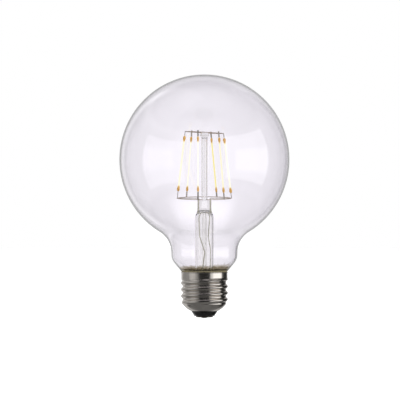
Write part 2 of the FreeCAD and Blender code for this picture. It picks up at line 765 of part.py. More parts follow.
# Cement that holds the glass tail in the skirt and shows as a thin bead above the rim
def capping_cement(doc):
    return turned_body(
        doc,
        "capping_cement",
        (TAIL_RADIUS, f"ramp_top + {RAMP_SHIFT}"),
        [
            line_to(SKIRT_INSIDE, f"ramp_top + {RAMP_SHIFT}"),
            line_to(SKIRT_INSIDE, "rim_height"),
            line_to("skirt_radius", "rim_height"),
            line_to("throat_radius", "throat_height"),
            arc_to(TAIL_RADIUS, TAIL_TOP, THROAT_FILLET, "left"),
        ],
    )


# The black insulator fills the shell's turned-in lip and carries the centre contact
def insulator(doc):
    meet = f"{BOW_CENTRE[0]} + sqrt({BOW_INSIDE}^2 - (insulator_top - {BOW_CENTRE[1]})^2)"
    return turned_body(
        doc,
        "insulator",
        ("eyelet_radius", "insulator_face_height"),
        [
            line_to("insulator_face_radius", "insulator_face_height"),
            line_to("lip_radius", "lip_height"),
            line_to(*LIP_INSIDE),
            arc_to(meet, "insulator_top", BOW_INSIDE, "left"),
            line_to("eyelet_radius", "insulator_top"),
        ],
    )


def centre_contact(doc):
    bore = "eyelet_radius - eyelet_wall"
    disc = "(insulator_face_height - contact_height)"
    return turned_body(
        doc,
        "centre_contact",
        (bore, "contact_height"),
        [
            line_to(f"contact_radius - {disc}", "contact_height"),
            arc_to("contact_radius", "insulator_face_height", disc, "left"),
            line_to("eyelet_radius", "insulator_face_height"),
            line_to("eyelet_radius", "insulator_top"),
            line_to(bore, "insulator_top"),
        ],
    )


# The solder bead, pressed flat at its crown where the holder's spring rests
def contact_solder(doc):
    bore = "(eyelet_radius - eyelet_wall)"
    bead_round = "((solder_radius - solder_flat_radius)^2 + contact_height^2)/2/contact_height"
    return turned_body(
        doc,
        "contact_solder",
        ("0", "0"),
        [
            line_to("solder_flat_radius", "0"),
            arc_to("solder_radius", "contact_height", bead_round, "left"),
            line_to(bore, "contact_height"),
            line_to(bore, "solder_top"),
            line_to("0", "solder_top"),
        ],
    )


# The driver: a round board in the shell with its parts, and the wires to the contact and the shell
def driver(doc):
    parts = [
        upright_cylinder(
            doc,
            "driver_board",
            f"{SHELL_INSIDE} - board_clearance",
            "board_thickness",
            "0",
            "0",
            "board_height",
        ),
        block(
            doc,
            "bridge_rectifier",
            "rectifier_length",
            "rectifier_width",
            "rectifier_height",
            "component_ring_radius*cos(rectifier_angle)",
            "component_ring_radius*sin(rectifier_angle)",
            BOARD_TOP,
        ),
        block(
            doc,
            "driver_chip",
            "chip_length",
            "chip_width",
            "chip_height",
            "component_ring_radius",
            "0",
            BOARD_TOP,
        ),
        upright_cylinder(
            doc,
            "contact_wire",
            "lead_radius",
            "board_height - solder_top",
            "0",
            "0",
            "solder_top",
        ),
        upright_cylinder(
            doc,
            "shell_wire",
            "lead_radius",
            "shell_wire_length",
            f"({SHELL_INSIDE} - lead_radius - wall_wire_clearance)*cos(shell_wire_angle)",
            f"({SHELL_INSIDE} - lead_radius - wall_wire_clearance)*sin(shell_wire_angle)",
            BOARD_TOP,
        ),
    ]
    can = turned_body(
        doc,
        "smoothing_capacitor",
        ("0", "0"),
        [
            line_to("capacitor_radius", "0"),
            line_to("capacitor_radius", "capacitor_height - capacitor_edge_round"),
            arc_to("capacitor_radius - capacitor_edge_round", "capacitor_height", "capacitor_edge_round", "left"),
            line_to("0", "capacitor_height"),
        ],
    )
    can.setExpression("Placement.Base.x", bound("component_ring_radius*cos(capacitor_angle)"))
    can.setExpression("Placement.Base.y", bound("component_ring_radius*sin(capacitor_angle)"))
    can.setExpression("Placement.Base.z", bound(BOARD_TOP))
    resistor = doc.addObject("Part::Cylinder", "fuse_resistor")
    resistor.setExpression("Radius", bound("resistor_radius"))
    resistor.setExpression("Height", bound("resistor_length"))
    lying = FreeCAD.Rotation(FreeCAD.Vector(0, 1, 0), 90)
    half = value(doc, "resistor_length/2")
    under = value(doc, "board_height - resistor_radius")
    beside = value(doc, "component_ring_radius/2")
    resistor.Placement = FreeCAD.Placement(FreeCAD.Vector(-half, beside, under), lying)
    return [*parts, can, resistor]


def check(doc, pieces):
    for item in doc.Objects:
        if {"Invalid", "Error"} & set(item.State):
            raise RuntimeError(f"{item.Label} did not build: {item.State}")
    for piece in pieces:
        shape = piece.Shape
        if shape.isNull() or not shape.isValid() or not shape.Solids:
            raise RuntimeError(f"{piece.Label} has no valid solid")


def build():
    doc = FreeCAD.newDocument("GlobeBulb")
    size_sheet(doc)
    pieces = [
        glass_envelope(doc),
        stem_tube(doc),
        exhaust_tube(doc),
        centre_rod(doc),
        upper_ring(doc),
        lower_frame_half(doc, "lower_frame_left", -1),
        lower_frame_half(doc, "lower_frame_right", 1),
        *lead_wires(doc),
        screw_shell(doc),
        capping_cement(doc),
        insulator(doc),
        centre_contact(doc),
        contact_solder(doc),
        *driver(doc),
    ]
    for index in range(1, 7):
        pieces += filament(doc, index)
    doc.recompute()
    check(doc, pieces)
    os.makedirs("parts", exist_ok=True)
    for piece in pieces:
        piece.Shape.exportStep(f"parts/{piece.Label}.step")
    return doc, pieces


build()
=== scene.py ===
"""A clear globe lamp with six lit filament strips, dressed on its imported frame, with its stage and camera."""

import math

import bmesh
import bpy
import numpy as np
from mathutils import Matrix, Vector


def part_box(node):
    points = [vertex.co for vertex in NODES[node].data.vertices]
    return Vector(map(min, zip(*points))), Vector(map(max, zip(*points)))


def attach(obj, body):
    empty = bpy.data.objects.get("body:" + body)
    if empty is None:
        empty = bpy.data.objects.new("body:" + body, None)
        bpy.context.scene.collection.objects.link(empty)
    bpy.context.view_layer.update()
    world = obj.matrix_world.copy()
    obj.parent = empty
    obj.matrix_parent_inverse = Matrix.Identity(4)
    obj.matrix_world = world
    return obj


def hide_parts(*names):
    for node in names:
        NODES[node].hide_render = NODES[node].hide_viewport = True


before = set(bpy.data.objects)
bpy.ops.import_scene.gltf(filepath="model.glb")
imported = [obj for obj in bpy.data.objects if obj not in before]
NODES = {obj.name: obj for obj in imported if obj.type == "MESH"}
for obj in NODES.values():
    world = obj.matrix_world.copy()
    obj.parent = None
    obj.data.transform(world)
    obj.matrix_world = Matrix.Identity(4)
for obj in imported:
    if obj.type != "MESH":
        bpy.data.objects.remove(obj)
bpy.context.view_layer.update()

bl_info = {
    "name": "Clear globe lamp",
    "version": (1, 0, 0),
    "blender": (4, 5, 0),
    "location": "View3D > Sidebar > Lamp",
    "description": "Dresses the frame of a clear globe lamp with glass, metal and lit filament strips",
    "category": "Object",
}

BODY = "root"
MM = 0.001
SHARP_ANGLE = math.radians(35)

# Corners of a node's loose triangles that lie closer together than this are one corner
WELD_DISTANCE = 0.0005 * MM

# How yellow each of the six strips glows, from 0 for white to 1, in the order of their numbers
WARMTH = (0.3, 0.15, 0.05, 1.0, 0.4, 0.15)

# Noise mostly runs from 0.3 to 0.7, so a Map Range node spreads this reach over its output
NOISE_REACH = {"From Min": 0.3, "From Max": 0.7}


def linear(colour):
    """An sRGB hex colour as the linear red, green, blue and alpha that Blender works in."""
    channels = [int(colour[n : n + 2], 16) / 255 for n in (1, 3, 5)]
    return [c / 12.92 if c <= 0.04045 else ((c + 0.055) / 1.055) ** 2.4 for c in channels] + [1.0]


def node_size(name, axis):
    """How far a node of the frame reaches along one axis, from 0 for X to 2 for Z."""
    low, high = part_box(name)
    return high[axis] - low[axis]


# Sizes and colours that a user would change

def length(name, description, default):
    """A length in metres that the user can change."""
    return bpy.props.FloatProperty(
        name=name, description=description, default=default, unit="LENGTH", precision=5
    )


def angle(name, description, degrees):
    """An angle that the user can change, given here in degrees."""
    return bpy.props.FloatProperty(
        name=name, description=description, default=math.radians(degrees), subtype="ANGLE"
    )


def number(name, description, default):
    """A plain number that the user can change."""
    return bpy.props.FloatProperty(name=name, description=description, default=default, min=0)


def colour(name, description, value):
    """A colour that the user can change, given here as an sRGB hex value."""
    return bpy.props.FloatVectorProperty(
        name=name, description=description, default=linear(value), size=4, min=0, max=1, subtype="COLOR"
    )


class GlassSizes(bpy.types.PropertyGroup):
    """Sizes of the blown and drawn glass."""

    wall: length("Wall", "Thickness of the blown wall", 0.8 * MM)
    neck_radius: length("Neck radius", "Outer radius of the straight neck", 18.4 * MM)
    shoulder_radius: length("Shoulder radius", "Radius of the hollow shoulder under the globe", 13.75 * MM)
    bend_radius: length("Throat bend radius", "Radius of the bend from the neck to the throat", 7.0 * MM)
    throat_angle: angle("Throat angle", "How far the throat leans inwards", 39.5)
    throat_radius: length("Throat radius", "Outer radius where the throat meets the cap", 13.1 * MM)
    throat_height: length("Throat height", "Height of the throat above the contact", 26.35 * MM)
    tail_fillet: length("Tail fillet", "Radius of the bend from the throat into the cap", 1.55 * MM)
    stain_low: length("Stain low", "Least height of the stain's edge above the throat's foot", 2.2 * MM)
    stain_high: length("Stain high", "Greatest height of that edge above the throat's foot", 3.5 * MM)
    stain_least: length("Stain least", "Height that the slanted edge never falls below", 0.4 * MM)
    stain_fade: length("Stain fade", "Height over which the stain deepens below its edge", 1.2 * MM)
    stem_radius: length("Stem radius", "Outer radius of the stem tube", 5.25 * MM)
    stem_wall: length("Stem wall", "Thickness of the stem tube", 1.0 * MM)
    press_start: length("Press start", "Height at which the stem tube starts to flatten", 55.5 * MM)
    press_full: length("Press end", "Height from which the press is flat", 61.2 * MM)
    press_width: length("Press width", "Width of the flat press", 7.8 * MM)
    press_thickness: length("Press thickness", "Thickness of the flat press", 3.5 * MM)
    press_edge: length("Press edge", "Rounding of the press's upper edge", 0.5 * MM)
    cavity_top: length("Cavity top", "Height of the dome that closes the stem's bore", 59.3 * MM)
    cavity_dome: length("Cavity dome", "How tall that dome is", 3.4 * MM)
    flare_top: length("Flare top", "Height at which the stem starts to flare", 30.0 * MM)
    exhaust_wall: length("Exhaust wall", "Thickness of the pumping tube", 0.7 * MM)
    rod_radius: length("Rod radius", "Outer radius of the rod", 1.75 * MM)
    rod_bore: length("Rod bore", "Radius of the rod's bore", 1.15 * MM)
    button_height: length("Button height", "From the straight rod to the button's crown", 3.2 * MM)
    button_neck: length("Button neck", "Height over which the rod widens to the button", 1.6 * MM)
    button_edge: length("Button edge", "Rounding of the button's upper edge", 0.9 * MM)
    button_solid: length("Button solid", "Solid glass between the button's crown and the bore", 2.6 * MM)
    turns: bpy.props.IntProperty(name="Turns", description="Facets around the envelope", default=160, min=24)


class CapSizes(bpy.types.PropertyGroup):
    """Sizes of the rolled screw shell."""

    sheet: length("Sheet", "Thickness of the rolled sheet", 0.3 * MM)
    root_radius: length("Root radius", "Outer radius between the threads", 12.1 * MM)
    thread_depth: length("Thread depth", "How far the crests stand out of the roots", 1.05 * MM)
    thread_pitch: length("Thread pitch", "Rise of the thread in one turn", 3.629 * MM)
    thread_start: length("Thread start", "Height of the crest where the thread runs in", 7.92 * MM)
    thread_start_angle: angle("Thread start angle", "Where around the shell the thread runs in", -250.0)
    thread_turns: number("Thread turns", "Turns of the thread", 3.8)
    thread_fullness: number("Thread fullness", "Under 1, crests and roots are fuller than a plain wave", 0.8)
    thread_run_in: angle("Thread run-in", "Turn over which the thread rises to its full depth", 130.0)
    taper_top: length("Taper top", "Height at which the shell's taper starts", 7.8 * MM)
    lip_bow_radius: length("Lip bow radius", "Radius of the bowed taper above the lip", 9.7 * MM)
    lip_radius: length("Lip radius", "Radius of the lip that holds the insulator", 7.4 * MM)
    lip_height: length("Lip height", "Height of that lip", 3.85 * MM)
    ramp_bottom: length("Ramp bottom", "Height at which the skirt starts to widen", 20.7 * MM)
    ramp_top: length("Ramp top", "Height from which the skirt is straight", 21.5 * MM)
    cement_bottom: length("Cement bottom", "Height down to which cement fills the skirt", 22.9 * MM)
    skirt_radius: length("Skirt radius", "Outer radius of the plain skirt", 12.87 * MM)
    rim_height: length("Rim height", "Height of the shell's upper edge", 25.75 * MM)
    rim_bead: length("Rim bead", "How far the rolled rim stands out of the skirt", 0.2 * MM)
    turns: bpy.props.IntProperty(name="Turns", description="Facets around the shell", default=180, min=24)


class CageSizes(bpy.types.PropertyGroup):
    """Sizes of the bent wire frames that hold the strips."""

    wire_radius: length("Wire radius", "Radius of the drawn wire", 0.2 * MM)
    upper_radius: length("Upper radius", "Radius of the upper ring", 10.5 * MM)
    lower_radius: length("Lower radius", "Radius of the lower ring", 15.0 * MM)
    lower_tilt: angle("Lower tilt", "How far the lower ring is pitched up at the back", 3.0)
    gap: angle("Gap", "Gap between the halves of the lower ring", 8.0)
    leg: length("Leg", "From the press to the lower ring", 0.7 * MM)
    lead_spread: length("Lead spread", "From the axis to each lead in the press", 3.1 * MM)


class StripSizes(bpy.types.PropertyGroup):
    """Sizes of the coated filament strips."""

    width: length("Width", "Width of the coating", 1.03 * MM)
    thickness: length("Thickness", "Thickness of the coating", 0.74 * MM)
    end_length: length("End length", "Length of the coating's rounded ends", 1.2 * MM)
    drop_length: length("Drop length", "From the strip's end to where its thicker drop ends", 3.3 * MM)
    drop_full: length("Drop full", "From the strip's end to where that drop starts to thin", 1.3 * MM)
    drop_swell: number("Drop swell", "Extra girth of that drop", 0.55)
    ripple: length("Ripple", "How unevenly the coating was laid on", 0.035 * MM)
    ripple_size: length("Ripple size", "About how long one ripple is", 1.5 * MM)
    dark_end: bpy.props.FloatProperty(
        name="Dark end",
        description="Share of the strip at each end that stays unlit",
        default=0.085,
        min=0,
        max=0.5,
    )
    glow: number("Glow", "Strength of the lit coating", 1.12)


class LampColours(bpy.types.PropertyGroup):
    """Colours of the lamp's materials."""

    envelope: colour("Envelope", "Blown soda-lime glass", "#FCFAFE")
    scorch: colour("Scorch", "Stain at the throat, where the glass was sealed and capped", "#8E7F58")
    stem: colour("Stem", "Drawn stem glass", "#FFFFFE")
    stem_depth: colour("Stem depth", "What a long way through the stem glass turns light to", "#A3A18B")
    nickel: colour("Nickel", "Plating of the shell", "#DDD7D0")
    cement: colour("Cement", "Baked capping cement", "#9C9274")
    insulator: colour("Insulator", "Black moulded insulator", "#0F0E0D")
    contact: colour("Contact", "Centre contact plate", "#5C554A")
    solder: colour("Solder", "Solder bead", "#6E6B66")
    support_wire: colour("Support wire", "Drawn wire of the cage", "#B5A598")
    lead_wire: colour("Lead wire", "Oxidised lead wire", "#C3C1B2")
    tab: colour("Tab", "Stamped strip tabs", "#A39B90")
    phosphor: colour("Phosphor", "Unlit coating", "#F8C972")
    phosphor_deep: colour("Deep phosphor", "Unlit coating where it is thick", "#E0A34E")
    lit_edge: colour("Lit edge", "Lit coating towards its ends", "#F7DE8E")
    lit: colour("Lit", "Lit coating", "#FEFFF4")
    lit_warm: colour("Warm lit", "Lit coating of the strip that glows the yellowest", "#F6EC9A")
    board: colour("Board", "Solder mask of the driver board", "#2C5238")
    case: colour("Case", "Moulded component case", "#161616")
    can: colour("Can", "Drawn capacitor can", "#A8A8AC")
    resistor: colour("Resistor", "Dipped resistor body", "#B39A6C")


class StudioSettings(bpy.types.PropertyGroup):
    """Camera, lamps and the studio that the glass and the metal mirror."""

    camera_distance: length("Camera distance", "From the lamp's axis to the camera", 2.0)
    camera_height: length("Camera height", "Height of the level camera", 65.9 * MM)
    camera_side: length("Camera side", "How far the camera stands to the right of the axis", -2.46 * MM)
    view_width: length("View width", "Width of the picture at the lamp's axis", 223.52 * MM)
    floor_radius: length("Floor radius", "Radius of the round floor", 3.0)
    floor_gap: length("Floor gap", "How far the floor lies below the contact", 0.2 * MM)
    lamp_distance: length("Softbox distance", "What the softboxes' three shares are shares of", 0.9)
    lamp_side: number("Softbox side", "How far to the side each softbox stands, as a share", 0.8)
    lamp_front: number("Softbox front", "How far to the front each softbox stands, as a share", 0.45)
    lamp_rise: number("Softbox rise", "How far above the lamp's middle it stands, as a share", 0.75)
    lamp_size: length("Softbox size", "Side of each square softbox", 0.7)
    key_power: number("Key power", "Power of the right softbox in watts", 9.0)
    fill_power: number("Fill power", "Power of the left softbox in watts", 6.0)
    wall_level: number("Wall level", "Level of the studio's dark walls", 0.028)
    stem_level: number("Stem level", "Light added to what shows through three or more surfaces", 0.44)
    floor_glow: number("Floor glow", "Light that the floor gives to rays from the camera and the glass", 0.76)


GROUPS = {
    "lamp_glass": GlassSizes,
    "lamp_cap": CapSizes,
    "lamp_cage": CageSizes,
    "lamp_strips": StripSizes,
    "lamp_colours": LampColours,
    "lamp_studio": StudioSettings,
}


# Material helpers

def add_node(tree, kind, settings=None, inputs=None):
    """Adds a node; inputs maps a socket's name or number to a value or to an output socket that feeds it."""
    node = tree.nodes.new(kind)
    for name, value in (settings or {}).items():
        setattr(node, name, value)
    for name, value in (inputs or {}).items():
        socket = node.inputs[name]
        if isinstance(value, bpy.types.NodeSocket):
            tree.links.new(value, socket)
        else:
            socket.default_value = value
    return node


def new_finish(name):
    """The empty node tree of a new material."""
    material = bpy.data.materials.new(name)
    material.use_nodes = True
    material.node_tree.nodes.clear()
    return material.node_tree


def finish(name):
    """A material made earlier, by the real one's name."""
    return bpy.data.materials[name]


def object_noise(tree, size, detail=2.0, stretch=(1, 1, 1)):
    """Noise in object coordinates, in blotches about one size across that stretch draws out along an axis."""
    place = add_node(tree, "ShaderNodeTexCoord").outputs["Object"]
    scale = [1 / (size * s) for s in stretch]
    mapped = add_node(tree, "ShaderNodeMapping", inputs={"Vector": place, "Scale": scale}).outputs[0]
    noise = add_node(tree, "ShaderNodeTexNoise", inputs={"Vector": mapped, "Scale": 1.0, "Detail": detail})
    return noise.outputs["Fac"]


def shaded(value, share):
    """A colour made darker or lighter by a share."""
    return [min(channel * share, 1) for channel in value[:3]] + [1.0]


def plain_finish(name, base, metallic, roughness, grain, relief, variation=0.12, coat=0.0, stretch=(1, 1, 1)):
    """A finish mottled in blotches of a real grain size in metres, with a fine relief in metres."""
    unevenness = 0.15
    tree = new_finish(name)
    noise = object_noise(tree, grain, detail=4.0, stretch=stretch)
    blotch = add_node(tree, "ShaderNodeMapRange", inputs={"Value": noise, **NOISE_REACH}).outputs[0]
    tone = add_node(
        tree,
        "ShaderNodeMix",
        {"data_type": "RGBA"},
        {0: blotch, 6: shaded(base, 1 - variation), 7: shaded(base, 1 + variation)},
    ).outputs[2]
    smoothest = roughness * (1 - unevenness)
    roughest = min(roughness * (1 + unevenness), 1)
    gloss = add_node(
        tree, "ShaderNodeMapRange", inputs={"Value": blotch, "To Min": smoothest, "To Max": roughest}
    ).outputs[0]
    uneven = add_node(tree, "ShaderNodeBump", inputs={"Height": noise, "Distance": relief}).outputs[0]
    shader = add_node(
        tree,
        "ShaderNodeBsdfPrincipled",
        inputs={
            "Base Color": tone,
            "Metallic": metallic,
            "Roughness": gloss,
            "Coat Weight": coat,
            "Coat Roughness": 0.08,
            "Normal": uneven,
        },
    ).outputs[0]
    add_node(tree, "ShaderNodeOutputMaterial", inputs={"Surface": shader})


def lamp_light_passes(tree, shader):
    """Lets the softboxes' light straight through glass, so that no caustics make noise behind it."""
    path = add_node(tree, "ShaderNodeLightPath").outputs
    either = add_node(
        tree,
        "ShaderNodeMath",
        {"operation": "MAXIMUM"},
        {0: path["Is Shadow Ray"], 1: path["Is Diffuse Ray"]},
    ).outputs[0]
    clear = add_node(tree, "ShaderNodeBsdfTransparent", inputs={"Color": linear("#F2F2F2")}).outputs[0]
    return add_node(tree, "ShaderNodeMixShader", inputs={0: either, 1: shader, 2: clear}).outputs[0]


# Materials, each named for the real one

def blown_soda_lime_glass(colours, glass):
    """Clear blown glass that wobbles a little from the blowing, and is olive where it was capped."""
    tree = new_finish("blown soda-lime glass")
    place = add_node(tree, "ShaderNodeTexCoord").outputs["Object"]
    parts = add_node(tree, "ShaderNodeSeparateXYZ", inputs={0: place}).outputs
    # The stain ends in an uneven edge that rises a little to the right
    slant = 0.03
    deepest = 0.75
    uneven = add_node(
        tree,
        "ShaderNodeMapRange",
        inputs={
            "Value": object_noise(tree, 3.2 * MM, detail=3.0),
            **NOISE_REACH,
            "To Min": glass.throat_height + glass.stain_low,
            "To Max": glass.throat_height + glass.stain_high,
        },
    ).outputs[0]
    slanted = add_node(
        tree, "ShaderNodeMath", {"operation": "MULTIPLY_ADD"}, {0: parts["X"], 1: slant, 2: uneven}
    ).outputs[0]
    lowest = glass.throat_height + glass.stain_least
    edge = add_node(tree, "ShaderNodeMath", {"operation": "MAXIMUM"}, {0: slanted, 1: lowest}).outputs[0]
    full = add_node(
        tree, "ShaderNodeMath", {"operation": "SUBTRACT"}, {0: edge, 1: glass.stain_fade}
    ).outputs[0]
    stain = add_node(
        tree,
        "ShaderNodeMapRange",
        {"interpolation_type": "SMOOTHSTEP"},
        {"Value": parts["Z"], "From Min": edge, "From Max": full, "To Max": deepest},
    ).outputs[0]
    tint = add_node(
        tree, "ShaderNodeMix", {"data_type": "RGBA"}, {0: stain, 6: colours.envelope, 7: colours.scorch}
    ).outputs[2]
    waviness = object_noise(tree, 14 * MM, detail=1.0)
    wavy = add_node(tree, "ShaderNodeBump", inputs={"Height": waviness, "Distance": 0.02 * MM}).outputs[0]
    shader = add_node(
        tree,
        "ShaderNodeBsdfPrincipled",
        inputs={
            "Base Color": tint,
            "Roughness": 0.0,
            "IOR": 1.52,
            "Transmission Weight": 1.0,
            "Normal": wavy,
        },
    ).outputs[0]
    add_node(tree, "ShaderNodeOutputMaterial", inputs={"Surface": lamp_light_passes(tree, shader)})


def drawn_stem_glass(colours):
    """Drawn tube and rod: clear face on, olive grey along its edges, with faint streaks along the draw."""
    tree = new_finish("drawn stem glass")
    streaks = object_noise(tree, 1.2 * MM, detail=2.0, stretch=(1, 1, 14))
    streaked = add_node(tree, "ShaderNodeBump", inputs={"Height": streaks, "Distance": 0.02 * MM}).outputs[0]
    # Less than real stem glass bends light, which keeps the dark edges as thin as they look on the lamp
    bending = 1.4
    shader = add_node(
        tree,
        "ShaderNodeBsdfPrincipled",
        inputs={
            "Base Color": colours.stem,
            "Roughness": 0.0,
            "IOR": bending,
            "Transmission Weight": 1.0,
            "Normal": streaked,
        },
    ).outputs[0]
    depth = add_node(
        tree, "ShaderNodeVolumeAbsorption", inputs={"Color": colours.stem_depth, "Density": 30.0}
    ).outputs[0]
    glass = lamp_light_passes(tree, shader)
    add_node(tree, "ShaderNodeOutputMaterial", inputs={"Surface": glass, "Volume": depth})


def nickel_plated_brass(colours):
    """Rolled sheet under bright nickel: mirrors the studio, softened by fine rolling lines round it."""
    tree = new_finish("nickel-plated brass")
    lines = object_noise(tree, 0.5 * MM, detail=3.0, stretch=(12, 12, 1))
    rolled = add_node(tree, "ShaderNodeBump", inputs={"Height": lines, "Distance": 0.006 * MM}).outputs[0]
    clouds = object_noise(tree, 5 * MM, detail=3.0)
    cloud = add_node(tree, "ShaderNodeMapRange", inputs={"Value": clouds, **NOISE_REACH}).outputs[0]
    dull = shaded(colours.nickel, 0.86)
    bright = shaded(colours.nickel, 1.06)
    tone = add_node(tree, "ShaderNodeMix", {"data_type": "RGBA"}, {0: cloud, 6: dull, 7: bright}).outputs[2]
    gloss = add_node(
        tree, "ShaderNodeMapRange", inputs={"Value": cloud, "To Min": 0.16, "To Max": 0.26}
    ).outputs[0]
    shader = add_node(
        tree,
        "ShaderNodeBsdfPrincipled",
        inputs={"Base Color": tone, "Metallic": 1.0, "Roughness": gloss, "Normal": rolled},
    ).outputs[0]
    add_node(tree, "ShaderNodeOutputMaterial", inputs={"Surface": shader})


def phosphor_silicone(colours, strips):
    """Silicone full of phosphor: amber at its unlit ends, yellow and then white where it glows."""
    tree = new_finish("phosphor silicone")
    along = add_node(tree, "ShaderNodeAttribute", {"attribute_name": "along"}).outputs["Fac"]
    centred = add_node(tree, "ShaderNodeMath", {"operation": "SUBTRACT"}, {0: along, 1: 0.5}).outputs[0]
    half = add_node(tree, "ShaderNodeMath", {"operation": "ABSOLUTE"}, {0: centred}).outputs[0]
    to_end = add_node(tree, "ShaderNodeMath", {"operation": "SUBTRACT"}, {0: 0.5, 1: half}).outputs[0]
    # The glow sets in around the dark end's edge, and its yellow turns to the strip's own white past it
    glow_starts = strips.dark_end * 0.9
    glow_full = strips.dark_end * 1.2
    white_from = strips.dark_end * 1.5
    lit_share = add_node(
        tree,
        "ShaderNodeMapRange",
        {"interpolation_type": "SMOOTHSTEP"},
        {"Value": to_end, "From Min": glow_starts, "From Max": glow_full, "To Max": strips.glow},
    ).outputs[0]
    warmth = add_node(tree, "ShaderNodeAttribute", {"attribute_name": "warmth"}).outputs["Fac"]
    middle = add_node(
        tree, "ShaderNodeMix", {"data_type": "RGBA"}, {0: warmth, 6: colours.lit, 7: colours.lit_warm}
    ).outputs[2]
    from_edge = add_node(
        tree,
        "ShaderNodeMapRange",
        {"interpolation_type": "SMOOTHSTEP"},
        {"Value": to_end, "From Min": strips.dark_end, "From Max": white_from},
    ).outputs[0]
    lit = add_node(
        tree, "ShaderNodeMix", {"data_type": "RGBA"}, {0: from_edge, 6: colours.lit_edge, 7: middle}
    ).outputs[2]
    grain = object_noise(tree, 0.4 * MM, detail=3.0)
    grainy = add_node(tree, "ShaderNodeBump", inputs={"Height": grain, "Distance": 0.02 * MM}).outputs[0]
    thin = add_node(
        tree, "ShaderNodeMapRange", inputs={"Value": grain, "From Min": 0.35, "From Max": 0.6}
    ).outputs[0]
    unlit = add_node(
        tree, "ShaderNodeMix", {"data_type": "RGBA"}, {0: thin, 6: colours.phosphor_deep, 7: colours.phosphor}
    ).outputs[2]
    outshone = shaded(colours.phosphor, 0.05)
    base = add_node(
        tree, "ShaderNodeMix", {"data_type": "RGBA"}, {0: lit_share, 6: unlit, 7: outshone}
    ).outputs[2]
    shader = add_node(
        tree,
        "ShaderNodeBsdfPrincipled",
        inputs={
            "Base Color": base,
            "Roughness": 0.42,
            "IOR": 1.41,
            "Coat Weight": 0.2,
            "Coat Roughness": 0.2,
            "Emission Color": lit,
            "Emission Strength": lit_share,
            "Normal": grainy,
        },
    ).outputs[0]
    add_node(tree, "ShaderNodeOutputMaterial", inputs={"Surface": shader})


def metal_finishes(colours):
    """The wires, tabs, contact, solder and can."""
    # A soft sheen with faint streaks along the draw
    plain_finish(
        "drawn nickel wire", colours.support_wire, metallic=0.35, roughness=0.4,
        grain=0.6 * MM, relief=0.004 * MM, stretch=(1, 1, 4),
    )
    # A dull, clouded skin of oxide that mirrors little
    plain_finish(
        "oxidised lead wire", colours.lead_wire, metallic=0.15, roughness=0.45,
        grain=0.9 * MM, relief=0.006 * MM, variation=0.25,
    )
    # Flat and grey, with a metal's plain shine
    plain_finish(
        "stamped steel", colours.tab, metallic=0.7, roughness=0.36, grain=0.4 * MM, relief=0.004 * MM
    )
    # A dim yellowish metal, worn a little uneven
    plain_finish(
        "nickel-washed brass plate", colours.contact, metallic=1.0, roughness=0.3,
        grain=1.1 * MM, relief=0.01 * MM, variation=0.15,
    )
    # Shiny and lumpy, as it set from a drop
    plain_finish(
        "solder bead", colours.solder, metallic=1.0, roughness=0.28,
        grain=0.9 * MM, relief=0.03 * MM, variation=0.15,
    )
    # Bright, with drawing marks up its side
    plain_finish(
        "drawn aluminium can", colours.can, metallic=1.0, roughness=0.3,
        grain=0.5 * MM, relief=0.004 * MM, variation=0.08, stretch=(1, 1, 6),
    )


def moulded_and_baked_finishes(colours):
    """The cement, insulator, board and the driver's parts."""
    # Matt, pitted and patchy, like dry putty
    plain_finish(
        "baked capping cement", colours.cement, metallic=0.0, roughness=0.88,
        grain=0.8 * MM, relief=0.12 * MM, variation=0.3,
    )
    # Near black with a glassy skin
    plain_finish(
        "black moulded insulator", colours.insulator, metallic=0.0, roughness=0.3,
        grain=1.6 * MM, relief=0.01 * MM, variation=0.2, coat=0.5,
    )
    # Green under a thin gloss of solder mask
    plain_finish(
        "masked glass-epoxy board", colours.board, metallic=0.0, roughness=0.4,
        grain=1.0 * MM, relief=0.01 * MM, variation=0.1, coat=0.3,
    )
    # Dull black with an even, fine grain
    plain_finish(
        "moulded component case", colours.case, metallic=0.0, roughness=0.55,
        grain=0.3 * MM, relief=0.005 * MM, variation=0.1,
    )
    # Tan and half matt, as it dried from a dip
    plain_finish(
        "dipped resistor body", colours.resistor, metallic=0.0, roughness=0.5,
        grain=0.6 * MM, relief=0.01 * MM,
    )


# Mesh helpers

def arc(centre, radius, start, end, count):
    """Points of radius and height on an arc, from one angle to another in radians."""
    turns = [start + (end - start) * n / count for n in range(count + 1)]
    return [(centre[0] + radius * math.cos(turn), centre[1] + radius * math.sin(turn)) for turn in turns]


def line(start, end, count):
    """Points on a straight stretch, without its first one."""
    shares = [(n + 1) / count for n in range(count)]
    return [(start[0] + (end[0] - start[0]) * s, start[1] + (end[1] - start[1]) * s) for s in shares]


def skin(rings, closed):
    """A mesh over rings of points that follow each other; a ring of one point is a pole."""
    form = bmesh.new()
    loops = [[form.verts.new(place) for place in ring] for ring in rings]
    pairs = list(zip(loops, loops[1:] + loops[:1])) if closed else list(zip(loops, loops[1:]))
    for ring, following in pairs:
        count = max(len(ring), len(following))
        for n in range(count if count > 1 else 0):
            corners = [ring[n % len(ring)], ring[(n + 1) % len(ring)]]
            corners += [following[(n + 1) % len(following)], following[n % len(following)]]
            form.faces.new(list(dict.fromkeys(corners)))
    bmesh.ops.recalc_face_normals(form, faces=form.faces)
    mesh = bpy.data.meshes.new("skin")
    form.to_mesh(mesh)
    form.free()
    return mesh


def spun(outline, turns):
    """A closed outline of radius and height, spun about the lamp's axis."""
    directions = [(math.cos(math.tau * n / turns), math.sin(math.tau * n / turns)) for n in range(turns)]
    rings = []
    for radius, height in outline:
        if radius < 1e-7:
            rings.append([(0, 0, height)])
        else:
            rings.append([(radius * x, radius * y, height) for x, y in directions])
    return skin(rings, closed=True)


